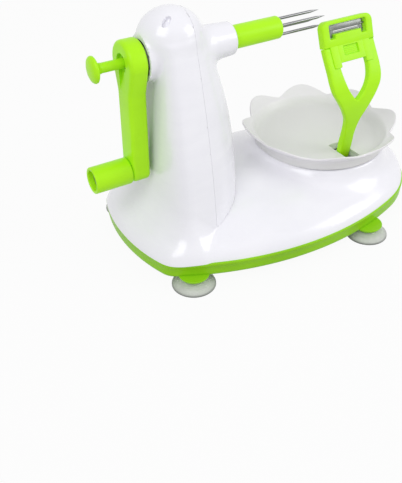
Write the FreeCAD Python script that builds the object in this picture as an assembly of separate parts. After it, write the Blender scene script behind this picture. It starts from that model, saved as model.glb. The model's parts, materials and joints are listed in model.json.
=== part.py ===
import FreeCAD, Part
import math
import os

Vec = FreeCAD.Vector

# All sizes are in millimetres. The peeler stands on its suction cups at z = 0,
# the crank is at -X, the bowl at +X, and the spindle lies above the X axis.

# Gear train: how far the shaft turns the bowl, and with it the layout along X
gear_module = 1.25
shaft_pinion_teeth = 10
compound_teeth = 40
compound_pinion_teeth = 10
idler_teeth = 33
turntable_teeth = 60
pressure_angle = 25.0
gear_addendum = 0.8
gear_dedendum = 1.0
gear_backlash = 0.12
gear_width = 6.0
gear_level_gap = 1.0
bevel_teeth = 16
bevel_reach = 11.0
bevel_face = 3.5
shaft_x = -55.25
compound_x = shaft_x + gear_module * (shaft_pinion_teeth + compound_teeth) / 2
idler_x = compound_x + gear_module * (compound_pinion_teeth + idler_teeth) / 2
bowl_x = idler_x + gear_module * (idler_teeth + turntable_teeth) / 2

# Fits
running_fit = 0.05
sliding_fit = 0.25
face_gap = 0.3
hole_fit = 0.2

# How far a moulded shape runs into its neighbour, and a cutting shape past a face
weld = 0.5
overcut = 1.0

# Small pins, posts and their holes are many-sided
peg_sides = 10

# Tray and base outline
tray_bottom = 8.5
tray_height = 10.0
tray_wall = 2.2
tray_floor = 2.2
tray_edge_chamfer = 1.5
base_end_radius = 69.0
base_half_width = 78.5
base_widest_x = 8.0
base_left_x = -108.0
base_left_radius = 150.0
base_corner_radius = 14.5
tray_top = tray_bottom + tray_height
floor_top = tray_bottom + tray_floor

# Suction cups and their stubs
cup_places = [(-84.0, 54.0), (55.6, 71.0)]
cup_radius = 15.4
cup_rim = 0.8
cup_height = 4.7
cup_wall = 1.5
cup_sides = 30
cup_shoulder_radius = 4.5
cup_neck_radius = 3.5
cup_neck_top = 9.2
stub_bottom = 5.0
stub_bottom_radius = 7.5
stub_radius = 8.5
stub_top = 12.5

# White shell
shell_wall = 2.2
crown_x = 11.0
crown_top = 45.0
crown_along_radius = 420.0
crown_across_radius = 154.0
crown_half_span = 160.0
crown_chords = 9
shoulder_steps = [(0.0, 0.0), (0.0, 2.0), (3.5, 7.0), (12.5, 13.3)]
shoulder_wall = 3.2

# Raised collar round the turntable
collar_top = 46.5
collar_top_radius = 50.5
collar_foot_radius = 57.0
collar_foot = 26.0
collar_opening = 46.5
collar_round = 2.0

# Tower
spindle_height = 147.0
parting_x = -60.0
tower_foot = 20.0
dome_x = -70.0
dome_height = 157.0
dome_radius = 20.5
dome_steps = 6
dome_join_angle = 20.0
dome_join_margin = 0.4
tower_foot_half_width = 48.0
tower_width_power = 1.4
tower_foot_x = -76.0
tower_foot_depth = 51.0
tower_depth_power = 2.65
tower_face_x = -90.0
tower_face_lean = 7.7
tower_face_flare = 4.0
tower_flare_height = 46.0
tower_face_power = 3.4
tower_sides = 36
tower_heights = [20.0, 34.0, 52.0, 78.0, 108.0, 126.0, 140.0]
cavity_top = [(12.5, 0.78), (17.0, 0.35)]

# Crank boss and fork boss of the tower
crank_boss_radius = 15.0
crank_boss_face = -89.7
crank_boss_root = -76.0
bush_wall = 2.0
bush_seat_wall = 2.6
crank_bush_end = -78.0
fork_boss_end = -20.4
fork_boss_radius = 10.5
fork_boss_root_radius = 12.0
fork_boss_root = -41.5
fork_bush_length = 4.0

# Spindle, ejector and fork
spindle_radius = 5.0
spindle_nose_radius = 4.0
spindle_left = -100.2
spindle_right = 2.0
spindle_step = -39.4
stem_radius = 3.3
stem_bore_radius = 3.5
stem_bore_end = -74.0
rod_radius = 1.6
button_face = -122.0
button_radius = 8.8
button_thickness = 5.5
button_dome = [(0.0, 2.6), (1.6, 0.0)]
rod_socket = 2.0
stem_length = 15.5
spring_wire = 0.7
sleeve_left = -38.4
sleeve_right = 15.8
sleeve_radius = 8.1
sleeve_bore_radius = 7.0
sleeve_cap = 2.3
sleeve_edge = 1.2
tine_count = 4
tine_circle = 5.4
tine_radius = 1.05
tine_tip = 52.9
tine_point = 8.0
tine_turn = 19.5
tine_hub_left = -4.0
tine_hub_right = 12.0
tine_depth = 8.0
tine_tip_radius = 0.12

# Crank
arm_inner = -90.5
arm_thickness = 12.7
crank_length = 78.0
crank_hub_radius = 14.5
crank_half_width = 9.0
crank_neck_drop = 21.0
crank_end_drop = 7.4
crank_corner_radius = 6.0
crank_edge_chamfer = 2.2
crank_wall = 2.4
crank_pocket_depth = 9.0
hub_recess_radius = 6.5
hub_recess_depth = 3.0
hub_channel_width = 9.0
hub_channel_length = 19.0
grip_length = 26.5
grip_radius = 9.2
grip_edge = 1.0
grip_recess_radius = 7.0
grip_recess_depth = 5.3
grip_pin_radius = 3.0
grip_pin_head_radius = 4.8
grip_pin_head = 1.8
grip_pin_root = 6.0

# Shaft
shaft_radius = 3.0
shaft_foot = 7.0
bearing_rib_half_width = 5.5
bearing_rib_bottom = 5.4
bevel_hub_radius = 6.5
spindle_hub_radius = 7.5
shaft_web_bottom = 117.0
shaft_web_thickness = 4.0
web_boss_radius = 6.5
web_boss_drop = 4.0

# Gear axles
axle_radius = 2.5
axle_head_radius = 3.8
axle_head = 1.0
gear_rim = 2.5
gear_web = 2.4
gear_hub_radius = 5.5

# Turntable, its post and its screw
post_radius = 5.0
turntable_hub_radius = 9.0
turntable_hub_top = 30.0
drum_radius = 22.0
drum_wall = 2.5
plate_radius = 45.5
plate_top = 48.0
plate_thickness = 3.0
ear_inner = 7.0
ear_thickness = 3.0
ear_half_depth = 5.0
ear_drop = 4.6
washer_radius = 8.0
washer_thickness = 1.0
post_screw_radius = 1.6
post_screw_head_radius = 3.6
post_screw_head = 2.2
post_screw_length = 12.0

# Bowl
bowl_floor = 2.4
bowl_floor_radius = 47.0
bowl_skirt_radius = 50.3
bowl_skirt_bottom = 47.3
bowl_fold_radius = 52.5
bowl_fold_height = 54.0
bowl_tip_radius = 60.4
bowl_tip_height = 66.1
bowl_notch_height = 57.8
bowl_wall = 1.6
petal_count = 8
petal_shoulder = 9.0
petal_shoulder_height = 63.4
slot_half_width = 5.6
slot_inner = 19.0
slot_outer = 46.0
plate_slot_margin = 2.0
hook_count = 3
hook_circle = 34.0
hook_width = 8.0
hook_thickness = 2.0
hook_nose = 1.2
hook_nose_height = 1.3
hook_play = 0.1

# Peeling arm
arm_pin_radius = 1.5
arm_pin_end = 0.8
arm_pin_y = -28.0
arm_pin_z = 38.0
arm_foot_radius = 4.2
stem_half_width = 4.9
handle_thickness = 5.0
bend_y = -38.0
bend_z = 88.0
bend_round = 9.0
head_seam_z = 133.0
arm_top_y = -16.0
arm_top_z = 150.5
neck_z = 66.0
fork_root_z = 96.0
fork_half_width = 22.5
prong_inner = 12.0
window_top_z = 122.5
window_straight = 4.0
window_belly = 8.0
window_belly_height = 9.5
tab_outer = 17.5
tab_drop = 14.0
tab_thickness = 2.2
tab_gap = 0.15

# Blade head and swivel blade
head_thickness = 6.5
head_corner_radius = 5.0
head_edge_chamfer = 1.2
head_recess_half_width = 6.5
head_recess_height = 7.0
head_recess_depth = 1.2
opening_half_width = 16.3
opening_low = 8.8
opening_high = 15.6
opening_ear_low = 5.8
opening_ear_inner = 11.6
blade_half_width = 15.2
blade_low = 9.9
blade_high = 14.5
blade_slit_low = 11.8
blade_slit_high = 12.6
blade_slit_half_width = 12.4
blade_thickness = 0.9
blade_ear_width = 2.2
blade_ear_low = 6.6
blade_pivot_radius = 0.8
blade_pivot_depth = 2.0

# Fasteners
screw_radius = 1.4
screw_head_radius = 2.7
screw_head = 2.0
screw_boss_radius = 4.0
tray_screw_length = 9.0
tray_screw_places = [(-98.5, 24.0), (26.0, 64.0), (112.0, 33.0)]
tower_screw_y = 11.5
tower_screw_z = 172.8
tower_screw_tilt = 26.6
tower_well_radius = 3.4
well_wall = 1.6
tower_well_depth = 6.0
tower_screw_length = 16.0
tower_boss_length = 9.0


def disc(radius, x, y, low, high):
    return Part.makeCylinder(radius, high - low, Vec(x, y, low))


def rod(radius, left, right, y=0.0, z=spindle_height):
    return Part.makeCylinder(radius, right - left, Vec(left, y, z), Vec(1, 0, 0))


def block(x0, x1, y0, y1, z0, z1):
    return Part.makeBox(x1 - x0, y1 - y0, z1 - z0, Vec(x0, y0, z0))


def peg(radius, foot, way, length):
    # A many-sided pin from its foot along any direction, also used for its hole
    corners = [polar(Vec(0, 0, 0), radius, 2 * math.pi * number / peg_sides) for number in range(peg_sides)]
    pin = flat_face(corners).extrude(Vec(0, 0, length))
    pin.Placement = FreeCAD.Placement(foot, FreeCAD.Rotation(Vec(0, 0, 1), way))
    return pin


def stepped_peg(steps, foot, way, sides):
    # A many-sided body of changing width: steps are its heights above the foot and its radii there
    pin = skin([[polar(Vec(0, 0, height), radius, 2 * math.pi * number / sides) for number in range(sides)]
                for height, radius in steps])
    pin.Placement = FreeCAD.Placement(foot, FreeCAD.Rotation(Vec(0, 0, 1), way))
    return pin


def upright_peg(radius, x, y, low, high):
    return peg(radius, Vec(x, y, low), Vec(0, 0, 1), high - low)


def joined(*shapes):
    return shapes[0].multiFuse(list(shapes[1:]))


def without(shape, *tools):
    return shape.cut(list(tools))


def flat_face(points):
    return Part.Face(Part.makePolygon(points + [points[0]]))


def turned(profile, centre):
    # A solid of revolution from (radius, height) points
    face = flat_face([Vec(r, 0, z) for r, z in profile])
    solid = face.revolve(Vec(0, 0, 0), Vec(0, 0, 1), 360)
    solid.translate(centre)
    return solid


def turned_along(profile, z=spindle_height):
    # A solid of revolution about a line along X, from (x, radius) points
    face = flat_face([Vec(x, 0, -r) for x, r in profile])
    solid = face.revolve(Vec(0, 0, 0), Vec(1, 0, 0), 360)
    solid.translate(Vec(0, 0, z))
    return solid


def skin(rings):
    # A closed solid over rings of corners; each wall between two rings is split in two
    faces = [flat_face(rings[0]), flat_face(rings[-1])]
    for low, high in zip(rings, rings[1:]):
        for number in range(len(low)):
            after = (number + 1) % len(low)
            faces.append(flat_face([low[number], low[after], high[number]]))
            faces.append(flat_face([low[after], high[after], high[number]]))
    shell = Part.Shell(faces)
    shell.sewShape()
    solid = Part.Solid(shell)
    if solid.Volume < 0:
        solid.reverse()
    return solid


def polar(centre, radius, angle):
    return centre + Vec(math.cos(angle), math.sin(angle), 0) * radius


def arc_between(centre, radius, start, end, low=0.0):
    # A circular arc about centre from the bearing of start to the bearing of end
    a = math.atan2(start.y - centre.y, start.x - centre.x)
    b = math.atan2(end.y - centre.y, end.x - centre.x)
    if b <= a:
        b += 2 * math.pi
    points = [polar(centre, radius, angle) + Vec(0, 0, low) for angle in (a, (a + b) / 2, b)]
    return Part.Arc(*points).toShape()


def save(name, *solids):
    for solid in solids:
        if len(solid.Solids) != 1:
            raise ValueError(name + " is not one solid")
        if not solid.isValid():
            raise ValueError(name + " is not valid")
    shape = solids[0] if len(solids) == 1 else Part.makeCompound(list(solids))
    shape.exportStep("parts/" + name + ".step")
    print(name, len(shape.Solids), round(shape.Volume))


# Base outline: an arc round the bowl, two long side arcs, two corners and the crank end
def base_outline(inset, low):
    half_width = base_half_width
    offset = bowl_x - base_widest_x
    side = (offset ** 2 + half_width ** 2 - base_end_radius ** 2) / (2 * (half_width - base_end_radius))
    bowl_centre = Vec(bowl_x, 0, 0)
    side_centre = Vec(base_widest_x, side - half_width, 0)
    left_centre = Vec(base_left_x + base_left_radius, 0, 0)
    # The corner arc touches the side arc and the left arc from inside
    from_side = side - base_corner_radius
    from_left = base_left_radius - base_corner_radius
    between = left_centre - side_centre
    span = between.Length
    along = (from_side ** 2 - from_left ** 2 + span ** 2) / (2 * span)
    across = math.sqrt(from_side ** 2 - along ** 2)
    unit = between * (1 / span)
    corner = side_centre + unit * along + Vec(unit.y, -unit.x, 0) * across
    mirror = [Vec(p.x, -p.y, 0) for p in (side_centre, corner)]
    upper_side, upper_corner = mirror
    tangent_end = bowl_centre + (bowl_centre - side_centre)
    upper_end = Vec(tangent_end.x, -tangent_end.y, 0)
    beyond_corner = corner + (corner - side_centre)
    beyond_left = corner + (corner - left_centre)
    upper_beyond = [Vec(p.x, -p.y, 0) for p in (beyond_corner, beyond_left)]
    edges = [
        arc_between(bowl_centre, base_end_radius - inset, tangent_end, upper_end, low),
        arc_between(upper_side, side - inset, upper_end, upper_beyond[0], low),
        arc_between(upper_corner, base_corner_radius - inset, upper_beyond[0], upper_beyond[1], low),
        arc_between(left_centre, base_left_radius - inset, upper_beyond[1], beyond_left, low),
        arc_between(corner, base_corner_radius - inset, beyond_left, beyond_corner, low),
        arc_between(side_centre, side - inset, beyond_corner, tangent_end, low),
    ]
    return Part.Wire(Part.sortEdges(edges)[0])


def outline_block(inset, low, high):
    return Part.Face(base_outline(inset, low)).extrude(Vec(0, 0, high - low))


def crown_barrel(inset, chords):
    # A barrel about a line along X: its top is arched gently along X and more strongly across
    axis = crown_top - crown_across_radius
    profile = [(crown_x - crown_half_span, 0)]
    for number in range(chords + 1):
        offset = crown_half_span * (2 * number / chords - 1)
        drop = crown_along_radius - math.sqrt(crown_along_radius ** 2 - offset ** 2)
        profile.append((crown_x + offset, crown_across_radius - inset - drop))
    profile.append((crown_x + crown_half_span, 0))
    return turned_along(profile, axis)


def crown_form(inset, drop, low):
    # Lofted shoulder under the barrel, moved in by inset and down by drop
    steps = [(0, low)] + shoulder_steps[1:] + [(shoulder_steps[-1][0], spindle_height)]
    form = Part.makeLoft([base_outline(step + inset, tray_top + rise) for step, rise in steps], True, True)
    return form.common(crown_barrel(drop, crown_chords))


# Involute teeth
def tooth_half_angle(radius, pitch_radius, width):
    base = pitch_radius * math.cos(math.radians(pressure_angle))
    at_pitch = math.tan(math.radians(pressure_angle)) - math.radians(pressure_angle)
    if radius <= base:
        return width / (2 * pitch_radius) + at_pitch
    angle = math.acos(base / radius)
    return width / (2 * pitch_radius) + at_pitch - (math.tan(angle) - angle)


def flank_radii(pitch_radius, module):
    return [pitch_radius - gear_dedendum * module, pitch_radius + gear_addendum * module]


def tooth_ring(teeth, half_angles, phase):
    # half_angles pairs each radius of one flank, root first, with the tooth's half angle
    points = []
    for tooth in range(teeth):
        middle = phase + 2 * math.pi * tooth / teeth
        points += [(r, middle - a) for r, a in half_angles]
        points += [(r, middle + a) for r, a in reversed(half_angles)]
    return points


def spur_gear(teeth, x, low, high, phase):
    pitch_radius = gear_module * teeth / 2
    width = math.pi * gear_module / 2 - gear_backlash
    flank = [(r, tooth_half_angle(r, pitch_radius, width)) for r in flank_radii(pitch_radius, gear_module)]
    centre = Vec(x, 0, low)
    points = [polar(centre, r, a) for r, a in tooth_ring(teeth, flank, phase)]
    return flat_face(points).extrude(Vec(0, 0, high - low))


def bevel_gear(phase):
    # Teeth of a 45 degree bevel gear on the Z axis, with the apex of its cone at the origin
    module = 2 * bevel_reach / bevel_teeth
    slope = math.pi / 4
    cone = bevel_reach / math.cos(slope)
    width = math.pi * module / 2 - gear_backlash
    flank = []
    for radius in flank_radii(cone, module):
        height = radius - cone
        half = tooth_half_angle(radius, cone, width) * radius / (bevel_reach + height * math.cos(slope))
        flank.append((math.tan(slope + math.atan(height / cone)), half))
    ring = tooth_ring(bevel_teeth, flank, phase)
    return skin([[polar(Vec(0, 0, -reach), share * reach, angle) for share, angle in ring]
                 for reach in (bevel_reach, bevel_reach - bevel_face)])


# Tower sections, one height each
dome_join = dome_height + dome_radius * math.sin(math.radians(dome_join_angle))
dome_join_radius = dome_radius * math.cos(math.radians(dome_join_angle)) - dome_join_margin


def tower_point(height, inset, bearing):
    # A point of the tower's section: a half ellipse toward the fork, a blunt half toward the crank
    share = (height - tower_foot) / (dome_join - tower_foot)
    swell = 1 - max(share, 0.0) ** tower_width_power
    half_width = dome_join_radius + (tower_foot_half_width - dome_join_radius) * swell - inset
    reach = 1 - max(share, 0.0) ** tower_depth_power
    depth = dome_join_radius + (tower_foot_depth - dome_join_radius) * reach - inset
    middle = tower_foot_x + (dome_x - tower_foot_x) * share
    flare = max(0.0, 1 - (height - tower_foot) / tower_flare_height) ** 2
    face = tower_face_x + tower_face_lean * share - tower_face_flare * flare + inset
    along = math.cos(math.radians(bearing))
    across = math.sin(math.radians(bearing))
    if along >= 0:
        return Vec(middle + depth * along, half_width * across, height)
    blunt = 2 / tower_face_power
    return Vec(middle - (middle - face) * abs(along) ** blunt,
               math.copysign(half_width * abs(across) ** blunt, across), height)


def tower_ring(height, inset):
    return [tower_point(height, inset, 360 * number / tower_sides) for number in range(tower_sides)]


def tower_body():
    column = skin([tower_ring(height, 0) for height in tower_heights + [dome_join]])
    profile = [(0, dome_height), (dome_radius, dome_height)]
    for number in range(dome_steps + 1):
        angle = dome_join_angle + (90 - dome_join_angle) * number / dome_steps
        profile.append((dome_radius * math.cos(math.radians(angle)),
                        dome_height + dome_radius * math.sin(math.radians(angle))))
    dome = turned(profile[:-1] + [(0, dome_height + dome_radius)], Vec(dome_x, 0, 0))
    reach = 2 * dome_radius
    dome = dome.common(block(crank_boss_face, dome_x + reach, -reach, reach, 0, dome_height + reach))
    return joined(column, dome, rod(crank_boss_radius, crank_boss_face, crank_boss_root))


def tower_cavity(low):
    # The tower's hollow, one wall inside it, with a blunt top under the dome
    heights = [low] + [height for height in tower_heights if height > low] + [dome_join - shell_wall]
    rings = [tower_ring(height, shell_wall) for height in heights]
    widest = rings[-1]
    for rise, share in cavity_top:
        rings.append([Vec(dome_x + (p.x - dome_x) * share, p.y * share, dome_height + rise) for p in widest])
    return skin(rings)


def half_space(keep_left):
    size = 400.0
    left = parting_x - size if keep_left else parting_x
    return block(left, left + size, -size, size, -size, size)


# Points and directions of the oblique screws in the dome
tilt = math.radians(tower_screw_tilt)
tower_screw_way = Vec(math.cos(tilt), 0, -math.sin(tilt))
dome_chord = dome_radius ** 2 - tower_screw_y ** 2 - (tower_screw_z - dome_height) ** 2
tower_screw_x = dome_x - math.sqrt(dome_chord)


def tower_screw_peg(radius, side, start, end):
    origin = Vec(tower_screw_x, side * tower_screw_y, tower_screw_z)
    return peg(radius, origin + tower_screw_way * start, tower_screw_way, end - start)


def both_sides(places):
    return [(x, side * y) for x, y in places for side in (-1, 1)]


# White shell: crown, collar and the crank half of the tower, moulded in one
crown = crown_form(0, 0, 0)
crown_inside = crown_form(shoulder_wall, shell_wall, -overcut)

collar = turned([(0, tray_top + overcut), (collar_foot_radius, tray_top + overcut),
                 (collar_foot_radius, collar_foot),
                 (collar_top_radius + collar_round, collar_top - collar_round * 2),
                 (collar_top_radius, collar_top), (0, collar_top)], Vec(bowl_x, 0, 0))
collar_ceiling = collar_top - shell_wall
collar_inside = turned([(0, tray_top - overcut), (collar_foot_radius - shell_wall, tray_top - overcut),
                        (collar_foot_radius - shell_wall, collar_foot - shell_wall),
                        (collar_top_radius - shell_wall, collar_ceiling), (collar_opening, collar_ceiling),
                        (collar_opening, collar_top + overcut), (0, collar_top + overcut)],
                       Vec(bowl_x, 0, 0))

tower = tower_body()
boss_inside = rod(crank_boss_radius - shell_wall, crank_boss_face + shell_wall, crank_boss_root)
tower_inside = joined(tower_cavity(tray_top - overcut), boss_inside)

bush_radius = spindle_radius + running_fit + bush_wall
seat_radius = bush_radius + bush_seat_wall
left_half = half_space(True)
right_half = half_space(False)
body = joined(crown, collar, tower.common(left_half))
body = without(body, crown_inside, collar_inside, tower_inside)
boss_limit = crown_barrel(shell_wall / 2, crown_chords)
body_bosses = [upright_peg(screw_boss_radius, x, y, floor_top, crown_top).common(boss_limit)
               for x, y in both_sides(tray_screw_places)]
crank_seat = rod(seat_radius, crank_boss_face, crank_bush_end)
wells = [tower_screw_peg(tower_well_radius + well_wall, side, -well_wall, tower_well_depth + well_wall)
         .common(tower) for side in (-1, 1)]
body = joined(body, crank_seat, *body_bosses, *wells)
body = without(body, rod(bush_radius, crank_boss_face - overcut, crank_bush_end + overcut),
               *[tower_screw_peg(tower_well_radius, side, -tower_well_depth, tower_well_depth)
                 for side in (-1, 1)],
               *[tower_screw_peg(screw_radius + hole_fit, side, tower_well_depth - overcut,
                                 tower_well_depth + tower_screw_length) for side in (-1, 1)],
               *[upright_peg(screw_radius, x, y, floor_top - overcut, floor_top + tray_screw_length)
                 for x, y in both_sides(tray_screw_places)])

# Fork half of the tower, standing on the crown
cover = without(tower.common(right_half), tower_inside, crown)
web_top = shaft_web_bottom + shaft_web_thickness
web = joined(block(parting_x, 0, -tower_foot_half_width, tower_foot_half_width, shaft_web_bottom, web_top),
             disc(web_boss_radius, shaft_x, 0, shaft_web_bottom - web_boss_drop, web_top))
web = web.common(tower).common(right_half)
fork_bush_left = spindle_step - fork_bush_length
fork_boss = stepped_peg([(0, fork_boss_root_radius), (fork_boss_end - fork_boss_root, fork_boss_radius)],
                        Vec(fork_boss_root, 0, spindle_height), Vec(1, 0, 0), tower_sides)
fork_seat = rod(seat_radius, fork_bush_left, spindle_step)
sleeve_hole = rod(sleeve_radius + sliding_fit, spindle_step - hole_fit, fork_boss_end + overcut)
boss_end = parting_x + tower_boss_length
cover_bosses = [tower_screw_peg(screw_boss_radius, side, tower_well_depth, 2 * dome_radius).common(tower)
                .common(block(parting_x, boss_end, -dome_radius, dome_radius, dome_height, 2 * dome_height))
                for side in (-1, 1)]
cover = joined(cover, web, fork_boss, fork_seat, *cover_bosses)
cover = without(cover, sleeve_hole, rod(bush_radius, parting_x, spindle_step),
                disc(shaft_radius + running_fit, shaft_x, 0, 0, spindle_height),
                *[tower_screw_peg(screw_radius, side, 0, 2 * dome_radius) for side in (-1, 1)])

# Tray
tray = outline_block(0, tray_bottom, tray_top)
low_edges = [e for e in tray.Edges if e.BoundBox.ZMax < floor_top]
tray = tray.makeChamfer(tray_edge_chamfer, low_edges)
tray = without(tray, outline_block(tray_wall, floor_top, tray_top + overcut))
stub_shapes = []
stub_holes = []
for x, y in both_sides(cup_places):
    stub_shapes.append(turned([(0, stub_bottom), (stub_bottom_radius, stub_bottom),
                               (stub_radius, tray_bottom), (stub_radius, stub_top), (0, stub_top)],
                              Vec(x, y, 0)))
    stub_holes.append(upright_peg(cup_neck_radius + sliding_fit, x, y, stub_bottom - overcut,
                                  cup_neck_top + sliding_fit))
gear_low = floor_top + face_gap
gear_high_low = gear_low + gear_width + gear_level_gap
gear_top = gear_high_low + gear_width
bearing_rib = block(shaft_x - bearing_rib_half_width, idler_x + bearing_rib_half_width,
                    -bearing_rib_half_width, bearing_rib_half_width, bearing_rib_bottom, floor_top)
post_top = turntable_hub_top + face_gap
post = disc(post_radius, bowl_x, 0, tray_bottom, post_top)
tray = joined(tray, *stub_shapes, bearing_rib, post)
tray = without(tray, *stub_holes,
               disc(shaft_radius + running_fit, shaft_x, 0, shaft_foot - face_gap, floor_top + overcut),
               *[disc(axle_radius, x, 0, shaft_foot, floor_top + overcut) for x in (compound_x, idler_x)],
               upright_peg(post_screw_radius, bowl_x, 0, post_top - post_screw_length, post_top + overcut),
               *[upright_peg(screw_radius + hole_fit, x, y, tray_bottom - overcut, floor_top + overcut)
                 for x, y in both_sides(tray_screw_places)])

# Suction cups: a thin bell and a neck in the stub
cups = []
for x, y in both_sides(cup_places):
    foot = Vec(x, y, 0)
    bell = stepped_peg([(0, cup_radius), (cup_rim, cup_radius), (cup_height, cup_shoulder_radius)],
                       foot, Vec(0, 0, 1), cup_sides)
    hollow = stepped_peg([(0, cup_radius - cup_rim), (cup_height - cup_wall, cup_neck_radius)],
                         foot, Vec(0, 0, 1), cup_sides)
    cups.append(joined(without(bell, hollow), upright_peg(cup_neck_radius, x, y, cup_height - cup_wall,
                                                          cup_neck_top)))

# Screws
tray_screws = []
for x, y in both_sides(tray_screw_places):
    tray_screws.append(joined(upright_peg(screw_head_radius, x, y, tray_bottom - screw_head, tray_bottom),
                              upright_peg(screw_radius, x, y, tray_bottom,
                                          floor_top + tray_screw_length - weld)))
tower_screws = []
for side in (-1, 1):
    tower_screws.append(joined(
        tower_screw_peg(screw_head_radius, side, tower_well_depth - screw_head, tower_well_depth),
        tower_screw_peg(screw_radius, side, tower_well_depth, tower_well_depth + tower_screw_length)))

# Bushes for the spindle
crank_bush = without(rod(bush_radius, crank_boss_face - face_gap, crank_bush_end),
                     rod(spindle_radius + running_fit, crank_boss_face - overcut, crank_bush_end + overcut))
fork_bush = without(rod(bush_radius, fork_bush_left, spindle_step - hole_fit),
                    rod(spindle_radius + running_fit, fork_bush_left - overcut, spindle_step))

# Crank arm: outline in the YZ plane, cored from the tower side
arm_outer = arm_inner - arm_thickness
grip_height = spindle_height - crank_length


def crank_outline(inset, x):
    radius = crank_hub_radius - inset
    half = crank_half_width - inset
    neck = Vec(half, -crank_neck_drop, 0)
    spread = math.acos(radius / neck.Length) + math.atan2(neck.y, neck.x)
    touch = Vec(radius * math.cos(spread), radius * math.sin(spread), 0)
    low = -crank_length - crank_end_drop + inset
    corner = crank_corner_radius - inset
    centre = Vec(half - corner, low + corner, 0)
    dip = corner * math.sin(math.pi / 4)

    def at(y, z):
        return Vec(x, y, spindle_height + z)

    edges = [
        Part.Arc(at(-touch.x, touch.y), at(0, radius), at(touch.x, touch.y)).toShape(),
        Part.makeLine(at(touch.x, touch.y), at(half, neck.y)),
        Part.makeLine(at(half, neck.y), at(half, centre.y)),
        Part.Arc(at(half, centre.y), at(centre.x + dip, centre.y - dip), at(centre.x, low)).toShape(),
        Part.makeLine(at(centre.x, low), at(-centre.x, low)),
        Part.Arc(at(-centre.x, low), at(-centre.x - dip, centre.y - dip), at(-half, centre.y)).toShape(),
        Part.makeLine(at(-half, centre.y), at(-half, neck.y)),
        Part.makeLine(at(-half, neck.y), at(-touch.x, touch.y)),
    ]
    return Part.Face(Part.Wire(edges))


crank_arm = crank_outline(0, arm_outer).extrude(Vec(arm_thickness, 0, 0))
outer_rim = [e for e in crank_arm.Edges if e.BoundBox.XMax < arm_inner - crank_wall]
crank_arm = crank_arm.makeChamfer(crank_edge_chamfer, outer_rim)
pocket = crank_outline(crank_wall, arm_inner - crank_pocket_depth)
pocket = pocket.extrude(Vec(crank_pocket_depth + overcut, 0, 0))
channel_side = -hub_channel_width / 2
channel = flat_face([Vec(arm_outer - overcut, channel_side, spindle_height),
                     Vec(arm_outer + hub_recess_depth, channel_side, spindle_height),
                     Vec(arm_outer, channel_side, spindle_height - hub_channel_length),
                     Vec(arm_outer - overcut, channel_side, spindle_height - hub_channel_length)])
channel = channel.extrude(Vec(0, hub_channel_width, 0))
crank_arm = without(crank_arm, pocket)
hub_sleeve = rod(spindle_radius + crank_wall, spindle_left, arm_inner)
pin_sleeve = rod(grip_pin_radius + crank_wall, arm_inner - crank_pocket_depth, arm_inner, 0, grip_height)
crank_arm = joined(crank_arm, hub_sleeve, pin_sleeve)
crank_arm = without(crank_arm, channel, rod(hub_recess_radius, arm_outer - overcut, spindle_left),
                    rod(spindle_radius, spindle_left, arm_inner + overcut),
                    rod(grip_pin_radius, arm_outer - overcut, arm_outer + grip_pin_root, 0, grip_height))

# Grip and its pin
grip_right = arm_outer - face_gap
grip_left = grip_right - grip_length
recess_floor = grip_left + grip_recess_depth
grip_bore = grip_pin_radius + running_fit
crank_grip = turned_along([(grip_left, grip_recess_radius), (grip_left, grip_radius - grip_edge),
                           (grip_left + grip_edge, grip_radius), (grip_right, grip_radius),
                           (grip_right, grip_bore), (recess_floor, grip_bore),
                           (recess_floor, grip_recess_radius)], grip_height)
head_right = recess_floor - face_gap
head_left = head_right - grip_pin_head
pin_root = arm_outer + grip_pin_root
grip_pin = turned_along([(head_left, 0), (head_left, grip_pin_head_radius),
                         (head_right, grip_pin_head_radius), (head_right, grip_pin_radius),
                         (pin_root, grip_pin_radius), (pin_root, 0)], grip_height)

# Spindle, its bevel gear, the fork and the ejector
spindle = joined(rod(spindle_radius, spindle_left, spindle_step),
                 rod(spindle_nose_radius, spindle_step, spindle_right))
spindle = without(spindle, rod(stem_bore_radius, spindle_left - overcut, stem_bore_end),
                  rod(rod_radius + running_fit, stem_bore_end - overcut, spindle_right + overcut))

apex = Vec(shaft_x, 0, spindle_height)
spindle_bevel = bevel_gear(0)
spindle_bevel.rotate(Vec(0, 0, 0), Vec(0, 1, 0), 90)
spindle_bevel.translate(apex)
bevel_back = shaft_x - bevel_reach
spindle_bevel = joined(spindle_bevel, rod(spindle_hub_radius, crank_bush_end + face_gap, bevel_back + weld))
spindle_bevel = without(spindle_bevel, rod(spindle_radius, crank_bush_end, shaft_x))

tine_hub = turned_along([(tine_hub_left, spindle_nose_radius),
                         (tine_hub_left, sleeve_bore_radius - running_fit),
                         (tine_hub_right, sleeve_bore_radius - running_fit),
                         (tine_hub_right, rod_radius + running_fit),
                         (spindle_right, rod_radius + running_fit),
                         (spindle_right, spindle_nose_radius)])
along = Vec(1, 0, 0)
tine_root = tine_hub_right - tine_depth
tines = []
tine_holes = []
cap_holes = []
for number in range(tine_count):
    bearing = math.radians(tine_turn + 360 * number / tine_count)
    foot = Vec(tine_root, -tine_circle * math.sin(bearing), spindle_height + tine_circle * math.cos(bearing))
    length = tine_tip - tine_root
    steps = [(0, tine_radius), (length - tine_point, tine_radius), (length, tine_tip_radius)]
    tines.append(stepped_peg(steps, foot, along, peg_sides))
    tine_holes.append(peg(tine_radius, foot, along, tine_depth + overcut))
    cap_holes.append(peg(tine_radius + hole_fit, foot, along, sleeve_right + overcut - tine_root))
tine_hub = without(tine_hub, *tine_holes)

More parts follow.
